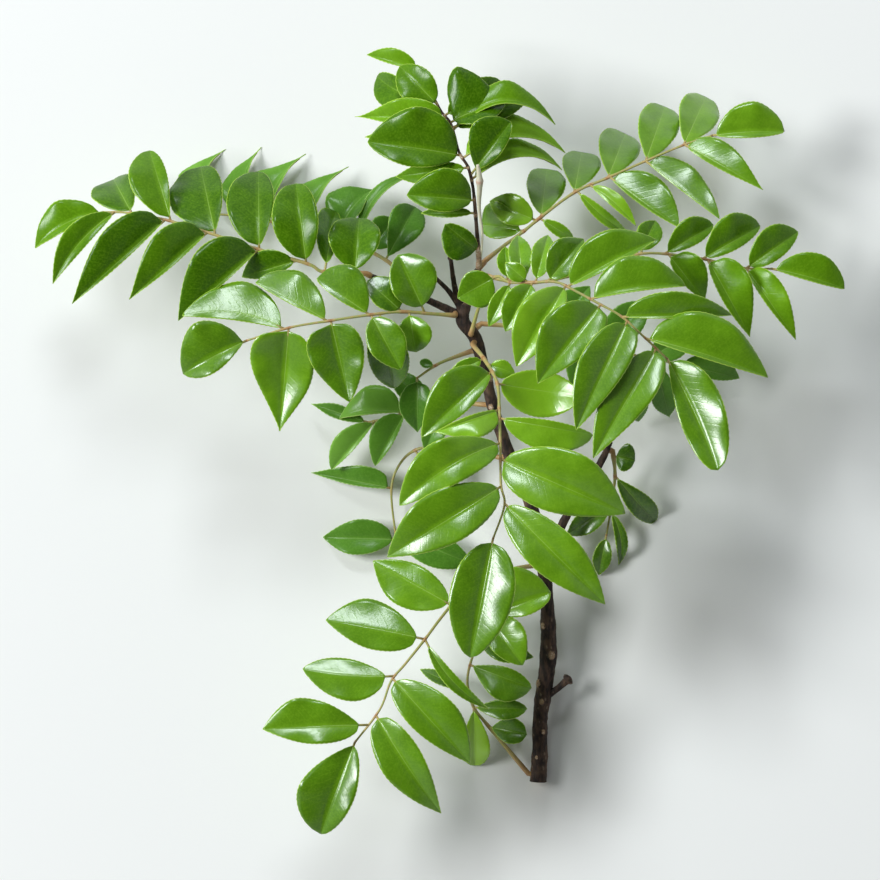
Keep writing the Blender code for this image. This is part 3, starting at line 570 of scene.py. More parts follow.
        0: Form(1.2, 1.0, 0.5, 0.5, tip=0.5, tone=-0.4, turn=75, reach=0.65),
        1: Form(0.8, 0.7, 0.62, 0.5, tip=0.6, tone=0.0),
        2: Form(0.6, 0.5, bend=0.1, tone=-0.2),
        3: Form(0.9, 0.9, tone=0.2),
        4: Form(tone=0.2),
    },
    "frond_right_pale": {
        1: Form(1.2, 0.5, tone=0.5),
        2: Form(0.8, 0.8, tip=1.2, tone=0.2),
    },
    "frond_young_left": {
        0: Form(1.0, 1.2, 0.36, 0.42, tip=0.95, tone=-0.3),
        1: Form(0.6, 0.6, 0.5, 0.5, tip=0.5, tone=-0.6, reach=0.55),
    },
}

# The thin lower end of the young shoot, down to the tip of the leader: points and radii in millimetres.
YOUNG_SHOOT_FOOT = ((15.8, 69.0, 50.6, 0.5), (16.9, 82.0, 57.0, 0.5))

# Leaf scars and knobs on the main stem: x, y, the way each faces as an angle about the stem from straight up
# towards +X in degrees, and its width in millimetres.
STEM_SCARS = (
    (38.8, -97.6, -50.0, 3.4),
    (40.8, -104.0, -5.0, 2.6),
    (41.4, -116.4, 25.0, 2.2),
    (43.8, -85.6, 20.0, 3.8),
    (43.4, -74.0, -40.0, 2.8),
    (39.8, -127.0, -20.0, 1.8),
    (21.0, 15.0, -20.0, 3.0),
    (18.4, 25.2, 40.0, 3.0),
    (14.8, 39.0, -30.0, 3.4),
)


# ---------------------------------------------------------------- colour and materials

# What many nodes are set to.
TIMES = {"operation": "MULTIPLY"}
TIMES_PLUS = {"operation": "MULTIPLY_ADD"}
SMOOTH = {"interpolation_type": "SMOOTHSTEP"}
BLEND = {"output": 2, "data_type": "RGBA"}


def hex_colour(code):
    """An sRGB hex colour as the linear values that shaders take."""
    channels = [int(code[i : i + 2], 16) / 255 for i in (1, 3, 5)]
    return (*(c / 12.92 if c <= 0.04045 else ((c + 0.055) / 1.055) ** 2.4 for c in channels), 1.0)


def add_node(tree, kind, inputs=(), output=0, **settings):
    """Adds a node with its settings, sets or links its inputs by name or in order, and gives an output."""
    node = tree.nodes.new("ShaderNode" + kind)
    for name, value in settings.items():
        setattr(node, name, value)
    for name, value in inputs.items() if isinstance(inputs, dict) else enumerate(inputs):
        if isinstance(value, bpy.types.NodeSocket):
            tree.links.new(value, node.inputs[name])
        else:
            node.inputs[name].default_value = value
    return node.outputs[output]


def new_material(name, **shader_values):
    """A material with its shader's values set, and what adds a node to it. A name's _ stands for a space."""
    material = bpy.data.materials.new(name)
    material.use_nodes = True
    sockets = material.node_tree.nodes["Principled BSDF"].inputs
    for socket, value in shader_values.items():
        sockets[socket.replace("_", " ")].default_value = value
    return material, partial(add_node, material.node_tree)


def connect(material, **results):
    """Links what the nodes give to the shader's sockets."""
    tree = material.node_tree
    for socket, result in results.items():
        tree.links.new(result, tree.nodes["Principled BSDF"].inputs[socket.replace("_", " ")])
    return material


def per_metre(size):
    """A texture's scale, for features of so many millimetres."""
    return 1 / (size * MM)


def blade_place(node):
    """Where a point of a blade lies: side veins passed, and millimetres from the midrib and from the edge."""
    blade = node("Attribute", output="Vector", attribute_name="blade")
    return node("SeparateXYZ", {0: blade}, slice(0, 3))


def leaf_upper_skin(name, wax, deep, green, bright, rib_colour, margin_colour):
    """The upper skin of a leaf: a waxy cuticle over green tissue, which gives a soft gloss and pale veins."""
    material, node = new_material(
        name, Roughness=0.45, IOR=1.4, Specular_IOR_Level=0.05,
        Coat_Weight=wax, Coat_Roughness=0.23, Coat_IOR=1.6,
    )
    place = node("TexCoord", output="Object")
    veins_passed, from_rib, from_edge = blade_place(node)
    growth = node("Attribute", output="Vector", attribute_name="growth")
    along, own_tone = node("SeparateXYZ", {0: growth}, slice(0, 2))
    mottle = node("TexNoise", {"Vector": place, "Scale": per_metre(7.69), "Detail": 3.0})
    # The grain of the skin's cells, ten times as coarse as the real grain so that it shows.
    grain = node("TexNoise", {"Vector": place, "Scale": per_metre(0.833)})
    # Side veins waver with the mottling and fade towards the edge. The midrib fades towards the tip.
    wavering = node("Math", (mottle, 0.9, veins_passed), **TIMES_PLUS)
    wavering = node("Math", (wavering, 0.45), operation="SUBTRACT")
    from_vein = node("Math", (wavering, 0.5), operation="PINGPONG")
    inside = node("MapRange", (from_edge, 0.6, 3.0), **SMOOTH)
    patchy = node("MapRange", (mottle, 0.35, 0.6, 0.4, 1.0), **SMOOTH)
    inside = node("Math", (inside, patchy), **TIMES)
    veins = node("Math", (node("MapRange", (from_vein, 0.06, 0.0), **SMOOTH), inside), **TIMES)
    grooves = node("Math", (node("MapRange", (from_vein, 0.14, 0.0), **SMOOTH), inside), **TIMES)
    fading = node("MapRange", (along, 0.9, 0.1, 0.25, 1.0), **SMOOTH)
    rib = node("Math", (node("MapRange", (from_rib, 0.3, 0.08), **SMOOTH), fading), **TIMES)
    # A painted sheen: a band beside the midrib, strongest near the foot and fading towards the tip, lightens
    # the tissue.
    painted_rib_sheen = node("Math", (node("MapRange", (from_rib, 2.4, 0.2), **SMOOTH), fading), **TIMES)
    uneven_edge = node("Math", (grain, 0.3, from_edge), **TIMES_PLUS)
    margin = node("MapRange", (uneven_edge, 0.5, 0.26), **SMOOTH)
    # Tissue: each leaflet a little its own green, mottled, and brighter beside the midrib, where a painted
    # sheen is laid on, strongest near the foot.
    tone = node("Math", (mottle, 0.5, own_tone), **TIMES_PLUS)
    tissue = node("Mix", {0: node("MapRange", (tone, 0.25, 1.25)), 6: deep, 7: green}, **BLEND)
    for share, colour in (
        (node("MapRange", (tone, 0.85, 1.75, 0.0, 0.8)), bright),
        (node("MapRange", (grain, 0.35, 0.75, 0.0, 0.12), **SMOOTH), bright),
        (node("Math", (painted_rib_sheen, 0.15), **TIMES), bright),
        (node("Math", (veins, 0.13), **TIMES), bright),
        (node("Math", (rib, 0.32), **TIMES), rib_colour),
        (node("Math", (margin, 0.8), **TIMES), margin_colour),
    ):
        tissue = node("Mix", {0: share, 6: tissue, 7: colour}, **BLEND)
    rough = node("Math", (grain, 0.5, mottle), **TIMES_PLUS)
    rough = node("MapRange", (rough, 0.4, 1.1, 0.32, 0.5), **SMOOTH)
    height = node("Math", (mottle, 0.9), **TIMES)
    for part, share in ((grain, 0.12), (grooves, -0.09), (rib, -0.4)):
        height = node("Math", (part, share, height), **TIMES_PLUS)
    bump = node("Bump", {"Strength": 0.6, "Distance": 0.3 * MM, "Height": height})
    return connect(material, Base_Color=tissue, Roughness=rough, Normal=bump, Coat_Normal=bump)


def leaf_underside():
    """The underside of a leaf: no wax and an open network of veins, so it is paler, greyer and matt."""
    material, node = new_material("Leaf underside", Roughness=0.55, IOR=1.42)
    place = node("TexCoord", output="Object")
    veins_passed, from_rib, _ = blade_place(node)
    mottle = node("TexNoise", {"Vector": place, "Scale": per_metre(3.33), "Detail": 3.0})
    from_vein = node("Math", (veins_passed, 0.5), operation="PINGPONG")
    veins = node("MapRange", (from_vein, 0.1, 0.0), **SMOOTH)
    rib = node("MapRange", (from_rib, 0.7, 0.2), **SMOOTH)
    patches = node("MapRange", (mottle, 0.3, 0.7), **SMOOTH)
    tissue = node("Mix", {0: patches, 6: hex_colour("#7f9f5c"), 7: hex_colour("#9cb878")}, **BLEND)
    network = node("Math", (veins, rib), operation="MAXIMUM")
    network = node("Math", (network, 0.5), **TIMES)
    tissue = node("Mix", {0: network, 6: tissue, 7: hex_colour("#bcd098")}, **BLEND)
    height = node("Math", (mottle, 0.3, veins), **TIMES_PLUS)
    bump = node("Bump", {"Strength": 0.4, "Distance": 0.2 * MM, "Height": height})
    return connect(material, Base_Color=tissue, Normal=bump)


def leaf_margin():
    """The cut-thin edge of a blade, where light comes through as yellow-green."""
    return new_material("Leaf margin", Base_Color=hex_colour("#a8cc48"), Roughness=0.45, IOR=1.42)[0]


def green_stalk(name, green, tan, brown):
    """A leaf's stalk: smooth green skin that turns tan and brown at each joint, with a faint satin sheen."""
    material, node = new_material(name, Roughness=0.45, IOR=1.45)
    place = node("TexCoord", output="Object")
    swell = node("Attribute", output="Fac", attribute_name="swell")
    grain = node("TexNoise", {"Vector": place, "Scale": per_metre(1.11), "Detail": 3.0})
    body = node("Mix", {0: node("MapRange", (grain, 0.35, 0.8), **SMOOTH), 6: green, 7: tan}, **BLEND)
    body = node("Mix", {0: node("MapRange", (swell, 0.1, 0.8), **SMOOTH), 6: body, 7: tan}, **BLEND)
    joint = node("MapRange", (swell, 0.45, 1.0), **SMOOTH)
    joint = node("Math", (joint, node("MapRange", (grain, 0.2, 0.6), **SMOOTH)), **TIMES)
    body = node("Mix", {0: joint, 6: body, 7: brown}, **BLEND)
    bump = node("Bump", {"Strength": 0.5, "Distance": 0.2 * MM, "Height": grain})
    return connect(material, Base_Color=body, Normal=bump)


def woody_bark():
    """Dark bark of a year-old shoot: dry, matt and finely furrowed lengthways, with pale pores and scars."""
    material, node = new_material("Woody bark", Roughness=0.8, IOR=1.45)
    place = node("TexCoord", output="Object")
    scar = node("Attribute", output="Fac", attribute_name="swell")
    lengthways = node("Mapping", {"Vector": place, "Scale": (1.0, 0.28, 1.0)})
    furrow = node(
        "TexNoise", {"Vector": lengthways, "Scale": per_metre(1.43), "Detail": 4.0, "Roughness": 0.6}
    )
    patch = node("TexNoise", {"Vector": place, "Scale": per_metre(9.09), "Detail": 3.0})
    flake = node("TexNoise", {"Vector": place, "Scale": per_metre(0.769), "Detail": 3.0, "Roughness": 0.6})
    stretched = node("Mapping", {"Vector": place, "Scale": (1.0, 0.6, 1.0)})
    from_pore = node("TexVoronoi", {"Vector": stretched, "Scale": per_metre(1.923)}, "Distance")
    pore = node("MapRange", (from_pore, 0.3, 0.12), **SMOOTH)
    pore = node("Math", (pore, node("MapRange", (patch, 0.48, 0.62), **SMOOTH)), **TIMES)
    # A scar is worn unevenly: tan round its edge and pale where the wear is deepest.
    worn = node("Math", (flake, 1.2, scar), **TIMES_PLUS)
    tan = node("MapRange", (worn, 0.95, 1.4), **SMOOTH)
    tan = node("Math", (tan, node("MapRange", (scar, 0.02, 0.3), **SMOOTH)), **TIMES)
    pale = node("MapRange", (worn, 1.4, 1.7), **SMOOTH)
    pale = node("Math", (pale, node("MapRange", (scar, 0.1, 0.4), **SMOOTH)), **TIMES)
    body = hex_colour("#1d1411")
    for share, colour in (
        (node("MapRange", (furrow, 0.35, 0.7), **SMOOTH), "#4f3b2f"),
        (node("MapRange", (patch, 0.5, 0.72, 0.0, 0.5), **SMOOTH), "#7c5f4a"),
        (node("Math", (pore, 0.5), **TIMES), "#9c8a76"),
        (tan, "#a3866a"),
        (pale, "#ddd0bc"),
    ):
        body = node("Mix", {0: share, 6: body, 7: hex_colour(colour)}, **BLEND)
    height = node("Math", (pore, 0.5, furrow), **TIMES_PLUS)
    bump = node("Bump", {"Strength": 0.9, "Distance": 0.6 * MM, "Height": height})
    return connect(material, Base_Color=body, Normal=bump)


def cut_wood():
    """Freshly cut green wood: pale, matt and faintly ringed, with a darker pith."""
    material, node = new_material("Cut wood", Roughness=0.7, IOR=1.45)
    inwards = node("Attribute", output="Fac", attribute_name="swell")
    rings = node("MapRange", (node("Math", (inwards, 0.09), operation="PINGPONG"), 0.0, 0.09), **SMOOTH)
    pith = node("MapRange", (inwards, 0.8, 0.95), **SMOOTH)
    body = node("Mix", {0: rings, 6: hex_colour("#c9b187"), 7: hex_colour("#e2d2ac")}, **BLEND)
    body = node("Mix", {0: pith, 6: body, 7: hex_colour("#8a6a48")}, **BLEND)
    return connect(material, Base_Color=body)


def make_materials(settings):
    """Every material of the sprig, by a short name."""
    leaf = (*settings.leaf_colour, 1.0)
    grown = (hex_colour("#386200"), leaf, *map(hex_colour, ("#9ccc30", "#b4d86c", "#b4d650")))
    young = map(hex_colour, ("#4a7a20", "#669c30", "#8cbc50", "#b4d47c", "#a8cc70"))
    return {
        "upper": leaf_upper_skin("Waxy leaf upper skin", 1.0, *grown),
        "upper_dull": leaf_upper_skin("Worn leaf upper skin", 0.35, *grown),
        "upper_pale": leaf_upper_skin("Young leaf upper skin", 0.3, *young),
        "under": leaf_underside(),
        "margin": leaf_margin(),
        "stalk": green_stalk("Green leaf stalk", *map(hex_colour, ("#98a054", "#b89a66", "#925c34"))),
        "bark": woody_bark(),
        "cut": cut_wood(),
        "shoot": green_stalk("Young shoot skin", *map(hex_colour, ("#d2d2b4", "#dccfba", "#c8a088"))),
    }


# ---------------------------------------------------------------- shapes


def metres(point):
    """A point in the tables' millimetres as one in the scene's metres."""
    return Vector((point[0] - CENTRE[0], point[1] - CENTRE[1], point[2])) * MM


def between(p, q, r, s, t):
    """A Catmull-Rom curve's value at t on its way from q to r, with p before them and s after."""
    square = 2 * p - 5 * q + 4 * r - s
    cube = 3 * q - p - 3 * r + s
    return 0.5 * (2 * q + (r - p) * t + square * t * t + cube * t**3)


def smooth_line(points, steps):
    """A smooth curve through the points, tuples of any one length, with so many steps between each two."""
    ends = [points[0], *points, points[-1]]
    line = []
    for i in range(1, len(ends) - 2):
        for k in range(steps):
            line.append(tuple(between(*values, k / steps) for values in zip(*ends[i - 1 : i + 3])))
    line.append(tuple(points[-1]))
    return line


def foot_on(line, x, y):
    """The point of the rachis nearest to x, y as seen from above, and its place along the line in points."""
    here = Vector((x, y))
    spots = []
    for i, (a, b) in enumerate(zip(line, line[1:])):
        _, share = intersect_point_line(here, Vector(a[:2]), Vector(b[:2]))
        share = min(max(share, 0.0), 1.0)
        spots.append((Vector(a[:3]).lerp(Vector(b[:3]), share), i + share))
    return min(spots, key=lambda spot: (spot[0].xy - here).length)


def add_tube(shape, line, sides, finish=0, ripple=0.0, cap_finish=None):
    """A closed tube. Each point of its line is a place and radius in millimetres and a swell from 0 to 1."""
    swell_layer = shape.verts.layers.float["swell"]
    points = [Vector(p) for p, _, _ in line]
    up = Vector((0.0, 0.0, 1.0))
    rings = []
    across = None
    for i, (point, radius, swell) in enumerate(line):
        ahead = (points[min(i + 1, len(points) - 1)] - points[max(i - 1, 0)]).normalized()
        if across is None:
            across = ahead.cross(up if abs(ahead.z) < 0.9 else Vector((1.0, 0.0, 0.0))).normalized()
        across = (across - ahead * across.dot(ahead)).normalized()
        other = ahead.cross(across)
        ring = []
        for k in range(sides):
            turn = 2 * math.pi * k / sides
            out = across * math.cos(turn) + other * math.sin(turn)
            here = Vector(point) + out * radius
            if ripple:
                rough = noise.noise(here * 0.55) * 0.6 + noise.noise(here * 1.7) * 0.4
                here += out * radius * ripple * rough
            vertex = shape.verts.new(metres(here))
            vertex[swell_layer] = swell
            ring.append(vertex)
        rings.append(ring)
    for low, high in zip(rings, rings[1:]):
        for k in range(sides):
            after = (k + 1) % sides
            face = shape.faces.new((low[k], low[after], high[after], high[k]))
            face.material_index = finish
            face.smooth = True
    for ring, at, turned in ((rings[0], line[0], True), (rings[-1], line[-1], False)):
        inner = []
        for share in (0.72, 0.4):
            row = []
            for vertex in ring:
                fresh = shape.verts.new(metres(at[0]).lerp(vertex.co, share))
                fresh[swell_layer] = at[2] if cap_finish is None else 1.0 - share
                row.append(fresh)
            inner.append(row)
        middle = shape.verts.new(metres(at[0]))
        middle[swell_layer] = at[2] if cap_finish is None else 1.0
        layers = [ring, *inner]
        for outside, inside in zip(layers, layers[1:]):
            for k in range(sides):
                after = (k + 1) % sides
                corners = (outside[k], outside[after], inside[after], inside[k])
                face = shape.faces.new(corners[::-1] if turned else corners)
                face.material_index = finish if cap_finish is None else cap_finish
        for k in range(sides):
            corners = (inner[-1][k], inner[-1][(k + 1) % sides], middle)
            face = shape.faces.new(corners[::-1] if turned else corners)
            face.material_index = finish if cap_finish is None else cap_finish


def blade_frame(foot, leaflet, form):
    """A leaflet's own directions and sizes: along, the way it faces, to its side, length, width and arch."""
    reach = (Vector(leaflet[2:5]) - foot) * form.reach + Vector((0.0, 0.0, form.rise))
    tip = foot + Matrix.Rotation(-math.radians(form.turn), 3, "Z") @ reach
    arch = (leaflet[6] if len(leaflet) > 6 else BLADE_BOW) * form.arch
    lean = leaflet[7:9] if len(leaflet) > 8 else (0.0, 0.0)
    along = (tip - foot).normalized()
    facing = Vector((lean[0] * form.lean, lean[1] * form.lean, 1.0))
    facing = (facing - along * facing.dot(along)).normalized()
    return along, facing, along.cross(facing), (tip - foot).length, leaflet[5], arch


def midrib_point(foot, along, facing, side, length, arch, bend, t):
    """A point of the midrib: a bow upwards, and sideways where the leaflet is bent."""
    swing = 4 * t * (1 - t)
    return foot + along * length * t + facing * (arch * length * swing) - side * (bend * length * swing)


def spread_at(share, peak, narrowing):
    """How much of its half-width a blade has at a share of its length: all at the peak, none at the ends."""
    if share <= 0 or share >= 1:
        return 0.0
    stage = share ** (math.log(0.5) / math.log(peak))
    return math.sin(math.pi * stage) ** (FOOT_NARROWING if stage < 0.5 else narrowing)


def add_blade(shape, foot, leaflet, form, lighter, luck, rows, nick):
    """One leaflet, as an open surface: folded at the midrib, each half crowned, its edge finely scalloped."""
    blade_layer = shape.verts.layers.float_vector["blade"]
    growth_layer = shape.verts.layers.float_vector["growth"]
    along, facing, side, length, width, arch = blade_frame(foot, leaflet, form)
    tone = form.tone + lighter + luck.uniform(-0.08, 0.08)
    wave = luck.uniform(0.0, 2 * math.pi)
    ripple = luck.uniform(0.03, 0.08)
    twist = luck.uniform(-0.1, 0.1)
    narrowing = form.tip + luck.uniform(-0.05, 0.05)
    start = min(form.stalk / length, 0.15)
    grid = []
    for row in range(rows + 1):
        u = row / rows
        t = start + (1 - start) * u
        middle = midrib_point(foot, along, facing, side, length, arch, form.bend, t)
        turn = Matrix.Rotation(math.radians(form.roll) + twist * (t - 0.3), 3, along)
        outward, upward = turn @ side, turn @ facing
        line = []
        for hand, fill, peak in ((-1, form.left, form.left_peak), (1, form.right, form.right_peak)):
            half = 0.5 * width * fill * max(spread_at(u, peak, narrowing), 0.02)
            if row % 2 and 1 < row < rows - 1:
                half -= nick * min(half, 1.0)
            columns = BLADE_COLUMNS[::-1] if hand < 0 else BLADE_COLUMNS[1:]
            for v in columns:
                lift = half * form.fold * (BLADE_RISE * v - BLADE_CROWN * v * v)
                lift += half * ripple * math.sin(2 * math.pi * EDGE_WAVES * t + wave + hand) * v * v
                point = middle + outward * hand * half * v * BLADE_SLANT + upward * lift
                point.z = max(point.z, SURFACE_LIFT)
                vertex = shape.verts.new(metres(point))
                veins_passed = (length * t - half * v * VEIN_SLANT) / VEIN_SPACING
                if hand > 0:
                    veins_passed += 0.5
                vertex[blade_layer] = (veins_passed, half * v, half * (1 - v))
                vertex[growth_layer] = (t, tone, hand)
                line.append(vertex)
        grid.append(line)
    for low, high in zip(grid, grid[1:]):
        for k in range(len(low) - 1):
            face = shape.faces.new((low[k], low[k + 1], high[k + 1], high[k]))
            face.smooth = True


def midrib_line(foot, leaflet, form):
    """The line of a leaflet's little stalk and of the midrib under its blade, thinning to the tip."""
    along, facing, side, length, _, arch = blade_frame(foot, leaflet, form)
    line = []
    for step in range(MIDRIB_STEPS + 1):
        t = MIDRIB_END * step / MIDRIB_STEPS
        under = MIDRIB_DEPTH if step > 0 else 0.0
        point = midrib_point(foot, along, facing, side, length, arch, form.bend, t) - facing * under
        point.z = max(point.z, SURFACE_LIFT)
        line.append((point, 0.5 - 0.38 * t, 0.55 if step < 1 else 0.15))
    return line


def piece_from(shape, name, materials, node, closed=True):
    """Turns the shape into a named object that rides on the sprig and stands for its CAD node."""
    mesh = bpy.data.meshes.new(name)
    if closed:
        bmesh.ops.recalc_face_normals(shape, faces=shape.faces)
    shape.to_mesh(mesh)
    shape.free()
    for material in materials:
        mesh.materials.append(material)
    piece = bpy.data.objects.new(name, mesh)
    bpy.context.scene.collection.objects.link(piece)
    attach(piece, "root")
    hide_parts(node)
    return piece


def forms_of(name):
    """The form of each of a frond's leaflets, in order."""
    own = FORMS.get(name, {})
    return [own.get(i, Form()) for i in range(len(FRONDS[name]["leaflets"]))]


def new_shape():
    """An empty shape, with what the materials read at each vertex."""
    shape = bmesh.new()
    shape.verts.layers.float.new("swell")
    shape.verts.layers.float_vector.new("blade")
    shape.verts.layers.float_vector.new("growth")
    return shape


def make_blades(name, frond, settings, made):
    """A frond's leaflets, as one piece of thin blades with an upper skin, an underside and a margin."""
    luck = random.Random(name)
    line = smooth_line(frond["rachis"], RACHIS_STEPS)
    shape = new_shape()
    for leaflet, form in zip(frond["leaflets"], forms_of(name)):
        foot, _ = foot_on(line, *leaflet[:2])
        length = (Vector(leaflet[2:5]) - foot).length
        rows = max(14, min(40, int(length)))
        add_blade(shape, foot, leaflet, form, LIGHTER.get(name, 0.0), luck, rows, settings.scallop / MM)
    upper = "upper_pale" if name in PALE_FRONDS else "upper_dull" if name in DULL_FRONDS else "upper"
    skins = [made[upper], made["under"], made["margin"]]
    piece = piece_from(shape, name + "_leaflets", skins, name, closed=False)
    shell = piece.modifiers.new("Blade thickness", "SOLIDIFY")
    shell.thickness = settings.blade_thickness
    shell.offset = 0.0
    shell.material_offset = 1
    shell.material_offset_rim = 2


def nearest_wood(point):
    """The point nearest to this one on the centreline of the stem or of a twig."""
    spots = []
    for line in (STEM, *TWIGS.values()):
        for a, b in zip(line, line[1:]):
            _, share = intersect_point_line(point, Vector(a[:3]), Vector(b[:3]))
            spots.append(Vector(a[:3]).lerp(Vector(b[:3]), min(max(share, 0.0), 1.0)))
    return min(spots, key=lambda spot: (spot - point).length)


def make_stalk(name, frond, made):
    """A frond's stalk and rachis, rooted in the wood, with each leaflet's little stalk and midrib."""
    line = smooth_line(frond["rachis"], RACHIS_STEPS)
    feet = [foot_on(line, *leaflet[:2]) for leaflet in frond["leaflets"]]
    start = Vector(line[0])
    root = nearest_wood(start)
    path = [(root.lerp(start, share), 1.15 * STALK_RADIUS * STALK_BASE, 0.8) for share in (0.0, 0.4, 0.75)]
    last = len(line) - 1
    for i, point in enumerate(line):
        near = min(abs(i - at) for _, at in feet)
        joint = math.exp(-((near / 0.55) ** 2))
        base = math.exp(-((i / 4.0) ** 2))
        radius = STALK_RADIUS * (1 - STALK_TAPER * i / last)
        swollen = 1 + (STALK_JOINT - 1) * joint + (STALK_BASE - 1) * base
        path.append((Vector(point), radius * swollen, max(0.9 * joint, 0.75 * base)))
    shape = new_shape()
    add_tube(shape, path, sides=10, ripple=0.06, finish=1 if name in WOODY_FRONDS else 0)
    for (foot, _), leaflet, form in zip(feet, frond["leaflets"], forms_of(name)):
        add_tube(shape, midrib_line(foot, leaflet, form), sides=6)
    skins = [made["stalk"], made["bark"]]
    piece_from(shape, name + "_stalk", skins, name)


def woody_path(points, step_mm):
    """A smooth path through the points with a radius, at about so many millimetres a step."""
    span = sum((Vector(a[:3]) - Vector(b[:3])).length for a, b in zip(points, points[1:])) / (len(points) - 1)
    line = smooth_line(points, max(2, int(span / step_mm)))
    return [(Vector(p[:3]), p[3], 0.0) for p in line]


def add_scar(shape, centre, outward, along, width):
    """A raised leaf scar: a low, uneven oval knob with a worn, paler top."""
    swell_layer = shape.verts.layers.float["swell"]
    across = outward.cross(along).normalized()
    rings = []
    for share, height, swell in ((1.0, -0.9, 0.0), (0.88, 0.25, 0.35), (0.66, 0.75, 0.7), (0.35, 0.95, 0.85)):
        ring = []
        for k in range(SCAR_SIDES):
            turn = 2 * math.pi * k / SCAR_SIDES
            here = centre + (across * math.cos(turn) * 0.5 + along * math.sin(turn) * 0.62) * width * share
            here += outward * height * width * 0.22
            here += outward * noise.noise(here * 1.3) * 0.35
            vertex = shape.verts.new(metres(here))
            vertex[swell_layer] = swell
            ring.append(vertex)
        rings.append(ring)
    for low, high in zip(rings, rings[1:]):
        for k in range(SCAR_SIDES):
            after = (k + 1) % SCAR_SIDES
            face = shape.faces.new((low[k], low[after], high[after], high[k]))
            face.smooth = True
    shape.faces.new(rings[-1])
    shape.faces.new(rings[0][::-1])


def make_stem(made):
    """The main stem with its scars, and its twigs with their buds."""
    shape = new_shape()
    stem = woody_path(STEM, 1.2)
    thick = []
    for point, radius, _ in stem:
        lump = sum(
            0.09 * math.exp(-(((point.x - x) ** 2 + (point.y - y) ** 2) / (width * 0.9) ** 2))
            for x, y, _, width in STEM_SCARS
        )
        thick.append((point, radius * (0.96 + lump), 0.0))
    add_tube(shape, thick, sides=30, ripple=0.11, cap_finish=1)
    for x, y, angle, width in STEM_SCARS:
        at = min(range(len(stem)), key=lambda i: (stem[i][0].x - x) ** 2 + (stem[i][0].y - y) ** 2)
        point, radius, _ = thick[at]
        ahead = (stem[min(at + 1, len(stem) - 1)][0] - stem[max(at - 1, 0)][0]).normalized()
        right = ahead.cross(Vector((0.0, 0.0, 1.0))).normalized()
        up = right.cross(ahead)
        turn = math.radians(angle)
        outward = up * math.cos(turn) + right * math.sin(turn)
        add_scar(shape, point + outward * radius * 0.99, outward, ahead, width)
    for name, points in TWIGS.items():
        path = woody_path(points, 1.0)
        tip, girth, _ = path[-1]
        path[-1] = (tip, girth * 0.8, 0.0)
        add_tube(shape, path, sides=14, ripple=0.14)
        if name in BUDDED:
            ahead = (tip - path[-2][0]).normalized()
            bud = [(tip + ahead * past, girth * share, pale) for past, share, pale in BUD]
            add_tube(shape, bud, sides=12, ripple=0.2)
    piece_from(shape, "woody_stem_bark", [made["bark"], made["cut"]], "woody_stem")


def make_young_shoot(made):
    """The pale young shoot, thicker and browner at its leaf joint."""
    shape = new_shape()
    path = []
    line = smooth_line((*YOUNG_SHOOT_FOOT, *YOUNG_SHOOT), SHOOT_STEPS)
    for i, point in enumerate(line):
        joint = math.exp(-(((i - SHOOT_JOINT * SHOOT_STEPS) / 1.4) ** 2))
        path.append((Vector(point[:3]), point[3] * (0.9 + 0.3 * joint), 0.9 * joint))
    add_tube(shape, path, sides=12, ripple=0.08)
    piece_from(shape, "young_shoot_skin", [made["shoot"]], "young_shoot")


# ---------------------------------------------------------------- settings, operators and panel


class SprigSettings(bpy.types.PropertyGroup):
    """The sizes and colours of the sprig that a user would change."""

    blade_thickness: bpy.props.FloatProperty(
        name="Blade thickness", description="How thick a leaflet's blade is",
        default=0.32 * MM, min=0.1 * MM, max=1.0 * MM, unit="LENGTH",
    )
    scallop: bpy.props.FloatProperty(
        name="Scallop depth", description="How deep the fine scallops of a leaflet's edge are",
        default=0.16 * MM, min=0.0, max=0.6 * MM, unit="LENGTH",
    )
    leaf_colour: bpy.props.FloatVectorProperty(
        name="Leaf green", description="The main green of a grown leaf's upper skin", subtype="COLOR", size=3,
        default=hex_colour("#70a412")[:3], min=0.0, max=1.0,
    )
    floor_colour: bpy.props.FloatVectorProperty(
        name="Floor", description="The colour of the plain floor", subtype="COLOR", size=3,
        default=hex_colour("#f1f1ee")[:3], min=0.0, max=1.0,
    )


FINISHES = {}


def finishes():
    """The sprig's materials, made once and shared by every piece."""
    if not FINISHES:
        FINISHES.update(make_materials(bpy.context.scene.sprig))
    return FINISHES


class SPRIG_OT_stem(bpy.types.Operator):
    """Build the woody stem with its twigs, scars and cut end"""

    bl_idname = "sprig.stem"
    bl_label = "Woody Stem"

    def execute(self, context):
        make_stem(finishes())
        return {"FINISHED"}


class SPRIG_OT_fronds(bpy.types.Operator):
    """Build every compound leaf: its stalk and its leaflets"""

    bl_idname = "sprig.fronds"
    bl_label = "Compound Leaves"

    def execute(self, context):
        for name, frond in FRONDS.items():
            make_stalk(name, frond, finishes())
            make_blades(name, frond, context.scene.sprig, finishes())
        return {"FINISHED"}


class SPRIG_OT_young_shoot(bpy.types.Operator):
    """Build the pale young shoot"""

    bl_idname = "sprig.young_shoot"
    bl_label = "Young Shoot"

    def execute(self, context):
        make_young_shoot(finishes())
        return {"FINISHED"}


def soft_light(name, location, size, power, colour):
    """A soft rectangular light that faces the sprig: metres, watts and a linear colour."""
    data = bpy.data.lights.new(name, "AREA")
    data.shape = "RECTANGLE"
    data.size, data.size_y = size
    data.energy = power
    data.color = colour
    light = bpy.data.objects.new(name, data)
    light.location = location
    light.rotation_euler = (-Vector(location)).to_track_quat("-Z", "Y").to_euler()
    bpy.context.scene.collection.objects.link(light)


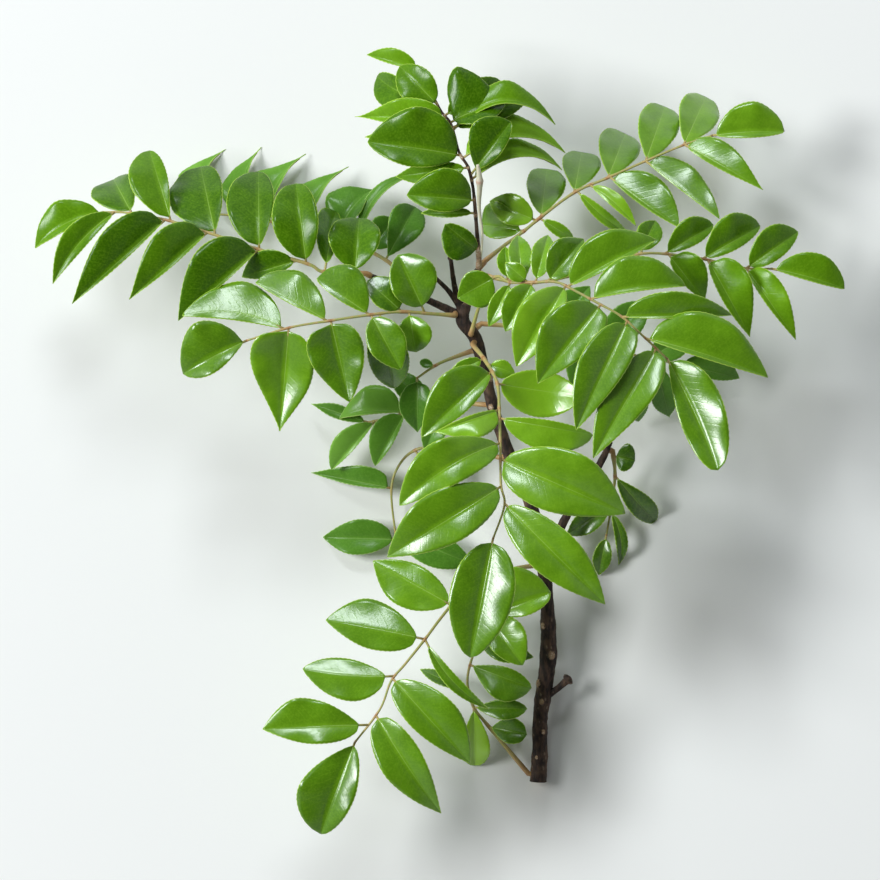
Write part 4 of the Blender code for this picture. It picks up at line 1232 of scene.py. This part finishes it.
class SPRIG_OT_stage(bpy.types.Operator):
    """Set up the plain floor, the soft lights and the camera above the sprig"""

    bl_idname = "sprig.stage"
    bl_label = "Stage"

    def execute(self, context):
        scene = context.scene
        bpy.ops.mesh.primitive_plane_add(size=8.0, location=(0.0, 0.0, 0.0))
        floor = context.object
        floor.name = "floor"
        floor_colour = (*scene.sprig.floor_colour, 1.0)
        paper, _ = new_material(
            "Matt paper floor", Base_Color=floor_colour, Roughness=0.95, Specular_IOR_Level=0.1
        )
        floor.data.materials.append(paper)
        soft_light("window_light", (-2.7, 0.6, 2.6), (1.5, 1.1), 135.0, (0.95, 0.98, 1.0))
        soft_light("sky_light", (-0.3, 2.7, 2.4), (1.0, 0.8), 52.0, (0.88, 0.95, 1.0))
        world = bpy.data.worlds.new("Studio")
        world.use_nodes = True
        tree = world.node_tree
        # A pale room with a dark ceiling, so leaves that face straight up keep their full green.
        direction = add_node(tree, "TexCoord", output="Generated")
        height = add_node(tree, "SeparateXYZ", {0: direction}, "Z")
        strength = add_node(tree, "MapRange", (height, 0.35, 0.75, 0.5, 0.05), **SMOOTH)
        room = tree.nodes["Background"].inputs
        room["Color"].default_value = hex_colour("#f2f4f6")
        tree.links.new(strength, room["Strength"])
        scene.world = world
        scene.view_settings.view_transform = "Standard"
        lens = bpy.data.cameras.new("camera")
        lens.lens = LENS
        lens.sensor_width = SENSOR
        lens.clip_end = 20.0
        camera = bpy.data.objects.new("camera", lens)
        camera.location = CAMERA_PLACE
        scene.collection.objects.link(camera)
        scene.camera = camera
        return {"FINISHED"}


class SPRIG_PT_panel(bpy.types.Panel):
    """The sprig's settings and the steps that build it"""

    bl_idname = "SPRIG_PT_panel"
    bl_label = "Curry Leaf Sprig"
    bl_space_type = "VIEW_3D"
    bl_region_type = "UI"
    bl_category = "Sprig"

    def draw(self, context):
        for setting in ("blade_thickness", "scallop", "leaf_colour", "floor_colour"):
            self.layout.prop(context.scene.sprig, setting)
        for step in STEPS:
            self.layout.operator(step.bl_idname)


STEPS = (SPRIG_OT_stem, SPRIG_OT_fronds, SPRIG_OT_young_shoot, SPRIG_OT_stage)
CLASSES = (SprigSettings, *STEPS, SPRIG_PT_panel)


def register():
    for item in CLASSES:
        bpy.utils.register_class(item)
    bpy.types.Scene.sprig = bpy.props.PointerProperty(type=SprigSettings)


def unregister():
    del bpy.types.Scene.sprig
    for item in reversed(CLASSES):
        bpy.utils.unregister_class(item)


def main():
    """Builds the sprig and its stage."""
    register()
    bpy.ops.sprig.stem()
    bpy.ops.sprig.fronds()
    bpy.ops.sprig.young_shoot()
    bpy.ops.sprig.stage()


if __name__ == "__main__":
    main()
